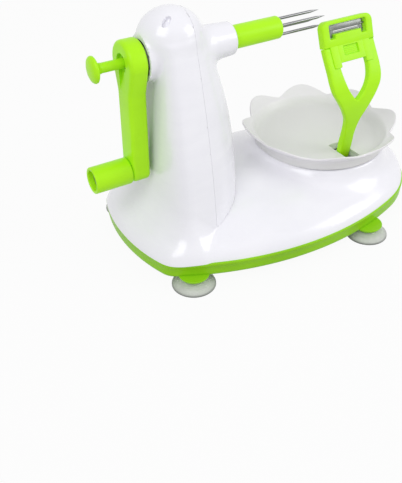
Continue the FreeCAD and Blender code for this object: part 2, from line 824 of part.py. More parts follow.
sleeve_edge_left = sleeve_right - sleeve_edge
sleeve_cap_left = sleeve_right - sleeve_cap
sleeve = turned_along([(sleeve_left, sleeve_bore_radius), (sleeve_left, sleeve_radius),
                       (sleeve_edge_left, sleeve_radius), (sleeve_right, sleeve_radius - sleeve_edge),
                       (sleeve_right, 0), (sleeve_cap_left, 0), (sleeve_cap_left, sleeve_bore_radius)])
rod_right = sleeve_right - sleeve_cap / 2
sleeve = without(sleeve, rod(rod_radius, sleeve_cap_left - overcut, rod_right), *cap_holes)

button_back = button_face + button_thickness
stem_right = button_back + stem_length
rod_left = button_back - rod_socket
profile = [(button_face + drop, button_radius - step) for drop, step in button_dome]
ejector_button = turned_along([(button_face, 0)] + profile + [
    (button_back, button_radius), (button_back, stem_radius), (stem_right, stem_radius),
    (stem_right, rod_radius), (rod_left, rod_radius), (rod_left, 0)])
ejector_rod = rod(rod_radius, rod_left, rod_right)
spring_length = stem_bore_end - stem_right
spring_radius = stem_bore_radius - hole_fit
spring_foot = Vec(stem_right, 0, spindle_height)
ejector_spring = without(peg(spring_radius, spring_foot, along, spring_length),
                         peg(spring_radius - spring_wire, spring_foot - along * overcut, along,
                             spring_length + 2 * overcut))

# Upright shaft with its bevel gear and pinion
half_bevel_step = math.pi / bevel_teeth
shaft_bevel = bevel_gear(math.pi + half_bevel_step)
shaft_bevel.translate(apex)
shaft_bevel = joined(shaft_bevel, disc(bevel_hub_radius, shaft_x, 0, web_top + face_gap,
                                       spindle_height - bevel_reach + weld))
shaft_top = spindle_height - bevel_reach + bevel_face
shaft_bevel = without(shaft_bevel, disc(shaft_radius, shaft_x, 0, web_top, shaft_top + overcut))
drive_shaft = disc(shaft_radius, shaft_x, 0, shaft_foot, shaft_top)
shaft_pinion = without(spur_gear(shaft_pinion_teeth, shaft_x, gear_high_low, gear_top, 0),
                       disc(shaft_radius, shaft_x, 0, 0, spindle_height))

# Compound gear: the large wheel above, its pinion below
compound_wheel = spur_gear(compound_teeth, compound_x, gear_high_low, gear_top,
                           math.pi + math.pi / compound_teeth)
rim = gear_module * compound_teeth / 2 - gear_dedendum * gear_module - gear_rim
groove_low = gear_high_low + gear_web
compound_wheel = without(compound_wheel, disc(rim, compound_x, 0, groove_low, gear_top + overcut))
compound_pinion = spur_gear(compound_pinion_teeth, compound_x, gear_low, gear_high_low, 0)
compound_gear = joined(compound_wheel, compound_pinion,
                       disc(gear_hub_radius, compound_x, 0, gear_high_low, gear_top))
compound_gear = without(compound_gear, disc(axle_radius + running_fit, compound_x, 0, 0, spindle_height))
compound_axle = joined(disc(axle_radius, compound_x, 0, shaft_foot, gear_top + face_gap),
                       disc(axle_head_radius, compound_x, 0, gear_top + face_gap,
                            gear_top + face_gap + axle_head))

# Idler below the large wheel
idler_phase = math.pi + math.pi / idler_teeth
idler_top = gear_low + gear_width
idler_gear = spur_gear(idler_teeth, idler_x, gear_low, idler_top, idler_phase)
idler_gear = without(idler_gear, disc(axle_radius + running_fit, idler_x, 0, 0, spindle_height))
idler_axle = disc(axle_radius, idler_x, 0, shaft_foot, idler_top)

# Turntable: gear, hub, drum and the plate that carries the bowl and the arm's ears
plate_bottom = plate_top - plate_thickness
table_gear = spur_gear(turntable_teeth, bowl_x, gear_low, gear_low + gear_width,
                       math.pi + math.pi / turntable_teeth)
table_rim = gear_module * turntable_teeth / 2 - gear_dedendum * gear_module - gear_rim
table_floor = gear_low + gear_web
table_gear = without(table_gear, disc(table_rim, bowl_x, 0, table_floor, gear_low + gear_width + overcut))
hub = disc(turntable_hub_radius, bowl_x, 0, gear_low, turntable_hub_top)
drum = without(disc(drum_radius, bowl_x, 0, gear_low, plate_bottom + weld),
               disc(drum_radius - drum_wall, bowl_x, 0, table_floor, plate_bottom + overcut))
plate = disc(plate_radius, bowl_x, 0, plate_bottom, plate_top)
ears = []
for side in (-1, 1):
    inner = bowl_x + side * ear_inner
    outer = bowl_x + side * (ear_inner + ear_thickness)
    ears.append(block(min(inner, outer), max(inner, outer), arm_pin_y - ear_half_depth,
                      arm_pin_y + ear_half_depth, arm_pin_z - ear_drop, plate_bottom + weld))
slot_left = bowl_x - slot_half_width
slot_right = bowl_x + slot_half_width
slot = block(slot_left, slot_right, plate_slot_margin - slot_outer, -slot_inner,
             plate_bottom - overcut, bowl_fold_height)
bowl_slot = block(slot_left, slot_right, -slot_outer, -slot_inner, plate_bottom - overcut, bowl_fold_height)
ear_span = ear_inner + ear_thickness + arm_pin_end
arm_pin = rod(arm_pin_radius, bowl_x - ear_span, bowl_x + ear_span, arm_pin_y, arm_pin_z)
hook_windows = []
hooks = []
for number in range(hook_count):
    turn = 90 + 360 * number / hook_count
    half = hook_width / 2
    back = hook_circle + hook_thickness
    nose_top = plate_bottom - hook_play
    nose_bottom = nose_top - hook_nose_height
    shank = block(hook_circle, back, -half, half, nose_bottom, plate_top + weld)
    nose = block(hook_circle, back + hook_nose, -half, half, nose_bottom, nose_top)
    window = block(hook_circle - hole_fit, back + hook_nose + hole_fit, -half - hole_fit, half + hole_fit,
                   plate_bottom - overcut, plate_top + overcut)
    for shape, group in ((joined(shank, nose), hooks), (window, hook_windows)):
        shape.rotate(Vec(0, 0, 0), Vec(0, 0, 1), turn)
        shape.translate(Vec(bowl_x, 0, 0))
        group.append(shape)
turntable = joined(table_gear, hub, drum, plate, *ears)
turntable = without(turntable, slot, arm_pin, *hook_windows,
                    disc(post_radius + running_fit, bowl_x, 0, 0, turntable_hub_top + overcut))
screw_seat = post_top + washer_thickness
washer = without(upright_peg(washer_radius, bowl_x, 0, post_top, screw_seat),
                 upright_peg(post_screw_radius, bowl_x, 0, post_top - overcut, screw_seat + overcut))
screw_tip = post_top - post_screw_length + overcut
head_top = screw_seat + post_screw_head
post_screw = joined(upright_peg(post_screw_radius, bowl_x, 0, screw_tip, screw_seat),
                    upright_peg(post_screw_head_radius, bowl_x, 0, screw_seat, head_top))

# Bowl: a turned wall with a scalloped edge
bowl_floor_top = plate_top + bowl_floor
bowl = turned([(0, plate_top), (bowl_floor_radius, plate_top), (bowl_floor_radius, bowl_skirt_bottom),
               (bowl_skirt_radius, bowl_skirt_bottom),
               (bowl_fold_radius + bowl_wall, bowl_fold_height - bowl_wall / 2),
               (bowl_tip_radius + bowl_wall / 2, bowl_tip_height),
               (bowl_tip_radius - bowl_wall / 2, bowl_tip_height),
               (bowl_fold_radius, bowl_fold_height),
               (bowl_floor_radius - bowl_wall / 2, bowl_floor_top), (0, bowl_floor_top)], Vec(bowl_x, 0, 0))
half_petal = bowl_tip_radius * math.tan(math.pi / petal_count)
scallops = []
for number in range(petal_count):
    inner = bowl_floor_radius
    low = Vec(inner, 0, bowl_notch_height)
    ends = [Vec(inner, side * half_petal, bowl_tip_height + hole_fit) for side in (-1, 1)]
    bends = [Vec(inner, side * petal_shoulder, petal_shoulder_height) for side in (-1, 1)]
    tops = [Vec(inner, side * half_petal, bowl_tip_height + petal_shoulder) for side in (-1, 1)]
    wire = Part.Wire([Part.Arc(ends[0], bends[0], low).toShape(), Part.Arc(low, bends[1], ends[1]).toShape(),
                      Part.makeLine(ends[1], tops[1]), Part.makeLine(tops[1], tops[0]),
                      Part.makeLine(tops[0], ends[0])])
    cutter = Part.Face(wire).extrude(Vec(bowl_tip_radius, 0, 0))
    cutter.rotate(Vec(0, 0, 0), Vec(0, 0, 1), 360 * number / petal_count)
    cutter.translate(Vec(bowl_x, 0, 0))
    scallops.append(cutter)
bowl = without(bowl, *scallops)
bowl = without(joined(bowl, *hooks), bowl_slot)

# Peeling arm: a bent strip trimmed to its front outline
lean = math.atan2(arm_top_y - bend_y, arm_top_z - bend_z)


def bent_strip(points, thickness, half_width):
    # Mitred strip in the YZ plane about a centre line, extruded across X
    left = []
    right = []
    for number, point in enumerate(points):
        before = points[max(number - 1, 0)]
        after = points[min(number + 1, len(points) - 1)]
        first = (point - before) if number else (after - point)
        second = (after - point) if number < len(points) - 1 else first
        first.normalize()
        second.normalize()
        middle = first + second
        middle.normalize()
        across = Vec(0, -middle.z, middle.y)
        grow = thickness / 2 / middle.dot(second)
        left.append(point + across * grow)
        right.append(point - across * grow)
    face = flat_face(left + right[::-1])
    face.translate(Vec(-half_width, 0, 0))
    return face.extrude(Vec(2 * half_width, 0, 0))


arm_pin_point = Vec(0, arm_pin_y, arm_pin_z)
bend_point = Vec(0, bend_y, bend_z)
up = Vec(0, math.sin(lean), math.cos(lean))
out = Vec(0, -math.cos(lean), math.sin(lean))
seam_length = (head_seam_z - bend_z) / math.cos(lean)
top_length = (arm_top_z - bend_z) / math.cos(lean)
seam_point = bend_point + up * seam_length
strip = bent_strip([arm_pin_point, bend_point, seam_point], handle_thickness, fork_half_width + overcut)
bend_edges = [e for e in strip.Edges
              if e.BoundBox.XLength > fork_half_width and abs(e.BoundBox.Center.z - bend_z) < bend_round]
strip = strip.makeFillet(bend_round, bend_edges)


def front_outline():
    def at(x, z):
        return Vec(x, -60, z)

    side = [(stem_half_width, neck_z), (stem_half_width + 2, neck_z + 13), (stem_half_width + 6, bend_z),
            (fork_half_width - 3.2, fork_root_z + 4.5), (fork_half_width, fork_root_z + 18)]
    right = Part.BSplineCurve()
    right.interpolate(Points=[at(x, z) for x, z in side],
                      InitialTangent=Vec(0, 0, 1), FinalTangent=Vec(0, 0, 1))
    left = Part.BSplineCurve()
    left.interpolate(Points=[at(-x, z) for x, z in side],
                     InitialTangent=Vec(0, 0, 1), FinalTangent=Vec(0, 0, 1))
    low = arm_pin_z - arm_foot_radius
    high = head_seam_z + 5
    last = fork_root_z + 18
    edges = [Part.makeLine(at(-stem_half_width, low), at(stem_half_width, low)),
             Part.makeLine(at(stem_half_width, low), at(stem_half_width, neck_z)), right.toShape(),
             Part.makeLine(at(fork_half_width, last), at(fork_half_width, high)),
             Part.makeLine(at(fork_half_width, high), at(-fork_half_width, high)),
             Part.makeLine(at(-fork_half_width, high), at(-fork_half_width, last)), left.toShape(),
             Part.makeLine(at(-stem_half_width, neck_z), at(-stem_half_width, low))]
    return Part.Face(Part.Wire(Part.sortEdges(edges)[0])).extrude(Vec(0, 60, 0))


def window_outline():
    def at(x, z):
        return Vec(x, -60, z)

    low = at(0, fork_root_z)
    high = head_seam_z + 6
    side = window_top_z - window_straight
    belly = fork_root_z + window_belly_height
    edges = [Part.Arc(at(-prong_inner, side), at(-window_belly, belly), low).toShape(),
             Part.Arc(low, at(window_belly, belly), at(prong_inner, side)).toShape(),
             Part.makeLine(at(prong_inner, side), at(prong_inner, high)),
             Part.makeLine(at(prong_inner, high), at(-prong_inner, high)),
             Part.makeLine(at(-prong_inner, high), at(-prong_inner, side))]
    return Part.Face(Part.Wire(edges)).extrude(Vec(0, 60, 0))


def upright(shape):
    # Moves a shape drawn about the seam, with +Z up the arm and -Y outward, to its place
    shape.rotate(Vec(0, 0, 0), Vec(1, 0, 0), -math.degrees(lean))
    shape.translate(seam_point + Vec(bowl_x, 0, 0))
    return shape


arm_foot = rod(arm_foot_radius, -stem_half_width, stem_half_width, arm_pin_y, arm_pin_z)
peeler_arm = joined(strip.common(front_outline()), arm_foot)
peeler_arm = without(peeler_arm, window_outline())
peeler_arm.translate(Vec(bowl_x, 0, 0))
half_thick = handle_thickness / 2
tab_pockets = [upright(block(min(side * prong_inner, side * (tab_outer + tab_gap)),
                             max(side * prong_inner, side * (tab_outer + tab_gap)),
                             -half_thick - 1, -half_thick + tab_thickness + tab_gap,
                             -tab_drop - tab_gap, 5)) for side in (-1, 1)]
peeler_arm = without(peeler_arm, *tab_pockets,
                     rod(arm_pin_radius + running_fit, bowl_x - 20, bowl_x + 20, arm_pin_y, arm_pin_z))

# Blade head: cross bar, tongue between the prongs and a tab in each prong
head_height = top_length - seam_length
tongue_drop = (head_seam_z - window_top_z) / math.cos(lean)
half_head = head_thickness / 2
bar = block(-fork_half_width + 0.3, fork_half_width - 0.3, -half_head, half_head, tab_gap, head_height)
bar_corners = [e for e in bar.Edges if e.BoundBox.YLength > 1 and e.BoundBox.ZMin > head_height - 0.1]
bar = bar.makeFillet(head_corner_radius, bar_corners)
bar = bar.makeChamfer(head_edge_chamfer, [e for e in bar.Edges if e.BoundBox.YMax < -half_head + 0.1
                                          and e.BoundBox.ZMax > 1])
tongue = block(-prong_inner + tab_gap, prong_inner - tab_gap, -half_thick, half_thick, -tongue_drop, tab_gap)
tab_inner = prong_inner - overcut
tabs = [block(min(side * tab_inner, side * tab_outer), max(side * tab_inner, side * tab_outer),
              -half_thick, -half_thick + tab_thickness, -tab_drop, tab_gap) for side in (-1, 1)]
ear_pockets = [block(min(side * opening_ear_inner, side * opening_half_width),
                     max(side * opening_ear_inner, side * opening_half_width),
                     -half_head - 1, half_head + 1, opening_ear_low, opening_low + 0.5) for side in (-1, 1)]
opening = block(-opening_half_width, opening_half_width, -half_head - 1, half_head + 1,
                opening_low, opening_high)
recess = block(-head_recess_half_width, head_recess_half_width, -half_thick - 1,
               -half_thick + head_recess_depth, -head_recess_height, -0.8)
pivot_height = (blade_slit_low + blade_slit_high) / 2
pivot_reach = blade_half_width + blade_pivot_depth
blade_head = joined(bar, tongue, *tabs)
blade_head = without(blade_head, opening, recess, *ear_pockets,
                     rod(blade_pivot_radius + running_fit, -pivot_reach - face_gap,
                         pivot_reach + face_gap, 0, pivot_height))
blade_head = upright(blade_head)

# Swivel blade: a slit strip with a hooked ear and a pivot at each end
half_blade = blade_thickness / 2
strip_plate = without(block(-blade_half_width, blade_half_width, -half_blade, half_blade,
                            blade_low, blade_high),
                      block(-blade_slit_half_width, blade_slit_half_width, -overcut, overcut,
                            blade_slit_low, blade_slit_high))
blade_ears = [block(min(side * (blade_half_width - blade_ear_width), side * blade_half_width),
                    max(side * (blade_half_width - blade_ear_width), side * blade_half_width),
                    -half_blade, half_blade, blade_ear_low, blade_low + 0.5) for side in (-1, 1)]
pivots = [rod(blade_pivot_radius, min(side * blade_slit_half_width, side * pivot_reach),
              max(side * blade_slit_half_width, side * pivot_reach), 0, pivot_height) for side in (-1, 1)]
blade = upright(joined(strip_plate, *blade_ears, *pivots))

# Torsion spring round the arm's pin, with a leg against the arm and one under the plate
spring_outer = arm_pin_radius + 0.3 + 1.0
spring_left = bowl_x + stem_half_width + 0.3
spring_right = bowl_x + ear_inner - 0.3
arm_spring = without(rod(spring_outer, spring_left, spring_right, arm_pin_y, arm_pin_z),
                     rod(arm_pin_radius + 0.3, spring_left - 1, spring_right + 1, arm_pin_y, arm_pin_z))

os.makedirs("parts", exist_ok=True)
save("body_shell", body)
save("tower_cover", cover)
save("base_tray", tray)
save("suction_cups", *cups)
save("tray_screws", *tray_screws)
save("tower_screws", *tower_screws)
save("crank_bush", crank_bush)
save("fork_bush", fork_bush)
save("compound_axle", compound_axle)
save("idler_axle", idler_axle)
save("turntable_washer", washer)
save("turntable_screw", post_screw)
save("crank_arm", crank_arm)
save("crank_grip", crank_grip)
save("grip_pin", grip_pin)
save("spindle", spindle)
save("spindle_bevel_gear", spindle_bevel)
save("tine_hub", tine_hub)
save("fork_tines", *tines)
save("ejector_button", ejector_button)
save("ejector_rod", ejector_rod)
save("ejector_spring", ejector_spring)
save("ejector_sleeve", sleeve)
save("drive_shaft", drive_shaft)
save("shaft_bevel_gear", shaft_bevel)
save("shaft_pinion", shaft_pinion)
save("compound_gear", compound_gear)
save("idler_gear", idler_gear)
save("turntable", turntable)
save("bowl", bowl)
save("arm_pin", arm_pin)
save("arm_spring", arm_spring)
save("peeler_arm", peeler_arm)
save("blade_head", blade_head)
save("swivel_blade", blade)
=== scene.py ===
import json
import math

import bmesh
import bpy
import numpy as np
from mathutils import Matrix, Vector
from mathutils.geometry import delaunay_2d_cdt


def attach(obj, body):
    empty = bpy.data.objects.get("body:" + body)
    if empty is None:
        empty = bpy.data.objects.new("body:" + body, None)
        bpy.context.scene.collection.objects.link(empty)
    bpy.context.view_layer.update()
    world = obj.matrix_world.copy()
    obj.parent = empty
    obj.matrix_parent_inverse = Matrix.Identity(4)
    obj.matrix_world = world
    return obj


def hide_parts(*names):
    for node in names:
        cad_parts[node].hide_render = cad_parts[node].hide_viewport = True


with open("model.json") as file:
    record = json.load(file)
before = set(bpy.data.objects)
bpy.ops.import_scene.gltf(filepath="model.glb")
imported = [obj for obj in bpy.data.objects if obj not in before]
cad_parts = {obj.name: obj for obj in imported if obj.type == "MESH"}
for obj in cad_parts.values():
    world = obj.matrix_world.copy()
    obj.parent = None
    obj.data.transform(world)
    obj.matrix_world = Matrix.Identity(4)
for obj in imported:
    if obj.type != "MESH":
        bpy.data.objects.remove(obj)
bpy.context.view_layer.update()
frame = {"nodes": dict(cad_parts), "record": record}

# Camera: in front and to the left, above the fork, looking down on the bowl. The tower's
# dome and the base fill the upper part of the picture, so the lens is shifted.
picture_width, picture_height = 402, 483
focal_pixels = 746.0
centre_x, centre_y = 209.9, 184.6
azimuth, elevation = math.radians(-31.07), math.radians(33.10)
back = Vector((math.sin(azimuth) * math.cos(elevation), -math.cos(azimuth) * math.cos(elevation),
               math.sin(elevation)))
eye = bpy.data.cameras.new("camera")
eye.sensor_width = 36.0
eye.lens = focal_pixels * eye.sensor_width / picture_height
eye.shift_x = (picture_width / 2 - centre_x) / picture_height
eye.shift_y = (centre_y - picture_height / 2) / picture_height
camera = bpy.data.objects.new("camera", eye)
camera.location = (-0.2774, -0.3962, 0.3370)
camera.rotation_euler = (-back).to_track_quat("-Z", "Y").to_euler()
bpy.context.scene.collection.objects.link(camera)
bpy.context.scene.camera = camera
bpy.context.scene.view_settings.view_transform = "Standard"


# Studio: a pale paper floor that goes white for the camera, an even bright room and
# two soft boxes, the larger one high on the left.
class Wire:
    def __init__(self, tree, out):
        self.tree, self.out = tree, out

    def node(self, kind, settings, sockets, output=0):
        made = self.tree.nodes.new(kind)
        for name, value in settings.items():
            setattr(made, name, value)
        for name, value in sockets.items():
            if isinstance(value, Wire):
                self.tree.links.new(value.out, made.inputs[name])
            else:
                made.inputs[name].default_value = value
        return Wire(self.tree, made.outputs[output])

    def math(self, operation, *values):
        return self.node("ShaderNodeMath", {"operation": operation}, dict(enumerate(values)))

    def blend(self, first, second):
        return self.node("ShaderNodeMix", {"data_type": "RGBA"}, {0: self, 6: first, 7: second}, 2)

    def __add__(self, other):
        return self.math("ADD", self, other)

    __radd__ = __add__

    def __mul__(self, other):
        return self.math("MULTIPLY", self, other)

    __rmul__ = __mul__

    def __sub__(self, other):
        return self.math("SUBTRACT", self, other)

    def __rsub__(self, other):
        return self.math("SUBTRACT", other, self)


def surface(name):
    # A new material, the place on the object that its patterns read, and its output
    finish = bpy.data.materials.new(name)
    finish.use_nodes = True
    tree = finish.node_tree
    tree.nodes.clear()
    output = tree.nodes.new("ShaderNodeOutputMaterial")
    return finish, Wire(tree, tree.nodes.new("ShaderNodeTexCoord").outputs["Object"]), output


def seen_ray(tree):
    # 1 for what the camera sees directly, in a reflection or through a clear surface
    path = tree.nodes.new("ShaderNodeLightPath")
    rays = [Wire(tree, path.outputs[kind]) for kind in ("Is Camera Ray", "Is Glossy Ray", "Is Transmission Ray")]
    return rays[0].math("MAXIMUM", rays[0], rays[1].math("MAXIMUM", rays[1], rays[2]))


world = bpy.data.worlds.new("studio")
bpy.context.scene.world = world
world.use_nodes = True
room = world.node_tree.nodes["Background"]
room.inputs["Color"].default_value = (1.0, 1.0, 1.0, 1.0)
room_light = 0.68
strength = room_light + (1.0 - room_light) * seen_ray(world.node_tree)
world.node_tree.links.new(strength.out, room.inputs["Strength"])

floor_mesh = bpy.data.meshes.new("floor")
reach = 4.0
floor_grey, floor_glow = 0.62, 0.94
floor_mesh.from_pydata([(-reach, -reach, 0), (reach, -reach, 0), (reach, reach, 0), (-reach, reach, 0)],
                       [], [(0, 1, 2, 3)])
floor = bpy.data.objects.new("floor", floor_mesh)
bpy.context.scene.collection.objects.link(floor)
finish, here, output = surface("floor_paper")
lit = here.node("ShaderNodeBsdfDiffuse", {}, {"Color": (floor_grey, floor_grey, floor_grey, 1.0)})
glow = here.node("ShaderNodeEmission", {}, {"Color": (1.0, 1.0, 1.0, 1.0), "Strength": 1.0})
both = here.node("ShaderNodeMixShader", {}, {0: seen_ray(here.tree) * floor_glow, 1: lit, 2: glow})
here.tree.links.new(both.out, output.inputs["Surface"])
floor_mesh.materials.append(finish)

for name, place, size, power in (("soft_box_left", (-0.75, -0.55, 0.95), 0.7, 4.6),
                                 ("soft_box_right", (0.85, -0.65, 0.6), 0.6, 3.6)):
    lamp = bpy.data.lights.new(name, "AREA")
    lamp.size = size
    lamp.energy = power
    holder = bpy.data.objects.new(name, lamp)
    holder.location = place
    holder.rotation_euler = (Vector((0, 0, 0.07)) - Vector(place)).to_track_quat("-Z", "Y").to_euler()
    bpy.context.scene.collection.objects.link(holder)


# Tray: the green moulded floor of the base. A thin lip runs along its top edge, where
# the white shell sits, and a bulging stub at each foot takes the neck of a suction cup.
bowl_x = 61.0
# The outline's four arcs, each with its centre and radius, that run smoothly into one another
rim_end = (bowl_x, 0.0, 69.0)
rim_side = (8.0, -143.0921, 221.5921)
rim_corner = (-90.0, 39.6, 14.2749)
rim_left = (23.2276, 0.0, 134.2276)
bearings = [0.0, math.atan2(-rim_side[1], rim_end[0] - rim_side[0]),
            math.atan2(rim_corner[1] - rim_side[1], rim_corner[0] - rim_side[0]),
            math.atan2(rim_corner[1], rim_corner[0] - rim_left[0]), math.pi]
rim_arcs = [(arc, start, end) for arc, start, end in zip((rim_end, rim_side, rim_corner, rim_left),
                                                         bearings, bearings[1:])]


def rim(inset):
    # The base's outline, moved inwards: four arcs and their mirror images
    upper = []
    for (x, y, radius), start, end in rim_arcs:
        count = max(8, int((end - start) * radius / 2.0))
        for number in range(count):
            bearing = start + (end - start) * number / count
            upper.append((x + (radius - inset) * math.cos(bearing), y + (radius - inset) * math.sin(bearing)))
    upper.append((rim_left[0] - rim_left[2] + inset, 0.0))
    return upper + [(x, -y) for x, y in upper[-2:0:-1]]


def ringed(rings, closed=False, caps=True):
    # Skin over rings that have as many points each. A ring of one point is a pole
    points, indices, faces = [], [], []
    for ring in rings:
        indices.append(list(range(len(points), len(points) + len(ring))))
        points.extend(ring)
    pairs = list(zip(indices, indices[1:]))
    if closed:
        pairs.append((indices[-1], indices[0]))
    for low, high in pairs:
        count = max(len(low), len(high))
        for number in range(count):
            after = (number + 1) % count
            corners = [low[number % len(low)], low[after % len(low)],
                       high[after % len(high)], high[number % len(high)]]
            corners = list(dict.fromkeys(corners))
            if len(corners) > 2:
                faces.append(corners)
    if caps and not closed:
        for ring, turn in ((indices[0], -1), (indices[-1], 1)):
            if len(ring) > 2:
                faces.append(ring[::turn])
    return points, faces


def together(*parts):
    # Several parts as one list of points and faces
    points, faces = [], []
    for more_points, more_faces in parts:
        faces.extend([[corner + len(points) for corner in face] for face in more_faces])
        points.extend(more_points)
    return points, faces


def mesh_of(name, part, finish, crisp=40.0, recalculate=True):
    # Points in millimetres and their faces, made a mesh in metres with one finish
    points, faces = part
    mesh = bpy.data.meshes.new(name)
    mesh.from_pydata((np.array(points) / 1000.0).tolist(), [], faces)
    mesh.materials.append(finish)
    if recalculate:
        work = bmesh.new()
        work.from_mesh(mesh)
        bmesh.ops.recalc_face_normals(work, faces=work.faces[:])
        work.to_mesh(mesh)
        work.free()
    mesh.shade_smooth()
    mesh.set_sharp_from_angle(angle=math.radians(crisp))
    return mesh


def settled(name, mesh, body, nodes):
    # The finished piece, put in the scene for the solids that it stands for
    piece = bpy.data.objects.new(name, mesh)
    bpy.context.scene.collection.objects.link(piece)
    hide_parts(*nodes)
    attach(piece, body)
    return piece


def moulded(name, light, dark, roughness, coat, grain, shine=0.5):
    # Injection-moulded plastic: broad cloudy tone, flow marks, and a fine satin grain
    finish, here, output = surface(name)
    cloud = here.node("ShaderNodeTexNoise", {}, {"Vector": here, "Scale": 22.0, "Detail": 3.0})
    flow = here.node("ShaderNodeTexNoise", {}, {"Vector": here.node("ShaderNodeVectorMath", {"operation": "MULTIPLY"},
                     {0: here, 1: (30.0, 30.0, 140.0)}), "Scale": 1.0, "Detail": 4.0, "Distortion": 0.6})
    fine = here.node("ShaderNodeTexNoise", {}, {"Vector": here, "Scale": 2600.0, "Detail": 2.0})
    uneven = cloud * 0.6 + flow * 0.4
    tone = here.node("ShaderNodeMapRange", {}, {"Value": uneven, "From Min": 0.35, "From Max": 0.65})
    gloss = roughness + 0.10 * (flow - 0.5) + 0.08 * (fine - 0.5)
    bump = here.node("ShaderNodeBump", {}, {"Strength": grain, "Distance": 0.0002,
                                            "Height": fine + 0.6 * flow})
    shader = here.node("ShaderNodeBsdfPrincipled", {}, {"Base Color": tone.blend(dark, light),
                       "Roughness": gloss, "Normal": bump, "Coat Weight": coat, "Coat Roughness": 0.12,
                       "Specular IOR Level": shine})
    here.tree.links.new(shader.out, output.inputs["Surface"])
    return finish


# The tray's green is the same green plastic made darker: painted shade for the low sides of the base, which get little
# light.
tray_green_painted_shade = moulded("tray_green_painted_shade", (0.30, 0.66, 0.012, 1), (0.26, 0.58, 0.010, 1), 0.36, 0.0, 0.10, 0.18)
green_plastic = moulded("green_plastic", (0.46, 0.93, 0.012, 1), (0.42, 0.87, 0.010, 1), 0.34, 0.0, 0.10, 0.22)

tray_top = 18.5
tray_section = [(2.6, 8.5), (1.6, 8.7), (0.9, 9.4), (0.6, 10.4), (0.5, 12.0), (0.5, 16.2), (0.3, 16.5),
                (0.05, 16.7), (0.0, 17.0), (0.0, 18.2), (0.25, 18.45), (0.6, tray_top), (2.2, tray_top), (2.2, 10.7)]
tray_part = ringed([[(x, y, z) for x, y in rim(inset)] for inset, z in tray_section])


def softened(profile, radius, steps=4):
    # Rounds the corners of a line of points
    line = [profile[0]]
    for before, corner, after in zip(profile, profile[1:], profile[2:]):
        into = np.array(before, float) - corner
        away = np.array(after, float) - corner
        cut = min(radius, 0.45 * np.linalg.norm(into), 0.45 * np.linalg.norm(away))
        start = np.array(corner) + into / max(np.linalg.norm(into), 1e-9) * cut
        end = np.array(corner) + away / max(np.linalg.norm(away), 1e-9) * cut
        for number in range(steps + 1):
            t = number / steps
            point = (1 - t) ** 2 * start + 2 * t * (1 - t) * np.array(corner) + t * t * end
            line.append(tuple(point))
    line.append(profile[-1])
    return line


def lathed(profile, sides=72, centre=(0.0, 0.0), closed=False, along_x=False):
    # A turned form: profile points are its radius and its height, or its x where it lies along X
    rings = []
    for radius, height in profile:
        count = sides if radius > 1e-6 else 1
        ring = [(radius * math.cos(2 * math.pi * n / sides), radius * math.sin(2 * math.pi * n / sides))
                for n in range(count)]
        if along_x:
            rings.append([(height, centre[0] + a, centre[1] + b) for a, b in ring])
        else:
            rings.append([(centre[0] + a, centre[1] + b, height) for a, b in ring])
    return ringed(rings, closed, caps=False)


def stamping():
    # Node tree that stamps one piece on every point of a mesh
    tree = bpy.data.node_groups.new("stamp_on_points", "GeometryNodeTree")
    for name, kind in (("Places", "Geometry"), ("Piece", "Object"), ("Finish", "Material")):
        tree.interface.new_socket(name, in_out="INPUT", socket_type="NodeSocket" + kind)
    tree.interface.new_socket("Pieces", in_out="OUTPUT", socket_type="NodeSocketGeometry")
    source, piece, stamp, real, paint, result = [tree.nodes.new(kind) for kind in (
        "NodeGroupInput", "GeometryNodeObjectInfo", "GeometryNodeInstanceOnPoints",
        "GeometryNodeRealizeInstances", "GeometryNodeSetMaterial", "NodeGroupOutput")]
    for first, out, second, into in ((source, "Places", stamp, "Points"), (source, "Piece", piece, "Object"),
                                     (piece, "Geometry", stamp, "Instance"), (stamp, "Instances", real, "Geometry"),
                                     (real, "Geometry", paint, "Geometry"), (source, "Finish", paint, "Material"),
                                     (paint, "Geometry", result, "Pieces")):
        tree.links.new(first.outputs[out], second.inputs[into])
    return tree


stamp_tree = stamping()


def stamped(name, places, mesh, finish):
    # One mesh that holds a copy of the piece at each place
    model = bpy.data.objects.new(name + "_model", mesh)
    points = bpy.data.meshes.new(name + "_places")
    points.from_pydata([(x / 1000, y / 1000, z / 1000) for x, y, z in places], [], [])
    holder = bpy.data.objects.new(name + "_holder", points)
    bpy.context.scene.collection.objects.link(holder)
    modifier = holder.modifiers.new("stamp", "NODES")
    modifier.node_group = stamp_tree
    sockets = {item.name: item.identifier for item in stamp_tree.interface.items_tree if item.in_out == "INPUT"}
    modifier[sockets["Piece"]] = model
    modifier[sockets["Finish"]] = finish
    graph = bpy.context.evaluated_depsgraph_get()
    made = bpy.data.meshes.new_from_object(holder.evaluated_get(graph))
    made.name = name
    bpy.data.objects.remove(holder)
    bpy.data.objects.remove(model)
    return made


foot_places = [(-84.0, 54.0, 0.0), (-84.0, -54.0, 0.0), (55.6, 71.0, 0.0), (55.6, -71.0, 0.0)]
stub_profile = softened([(0.0, 9.6), (10.7, 9.6), (10.9, 8.9), (9.5, 7.0), (7.7, 5.6), (7.1, 5.0), (3.8, 5.0),
                         (3.8, 9.0), (0.0, 9.0)], 0.6)
stub = mesh_of("stub", lathed(stub_profile), tray_green_painted_shade)
stubs = stamped("stubs", foot_places, stub, tray_green_painted_shade)


def joined_mesh(name, *meshes):
    # Several meshes in one, each with its own faces and sharp edges kept
    work = bmesh.new()
    for mesh in meshes:
        work.from_mesh(mesh)
    made = bpy.data.meshes.new(name)
    work.to_mesh(made)
    work.free()
    made.materials.append(meshes[0].materials[0])
    return made


tray_mesh = joined_mesh("tray", mesh_of("tray_body", tray_part, tray_green_painted_shade), stubs)
settled("tray", tray_mesh, "base", ["base_tray"])
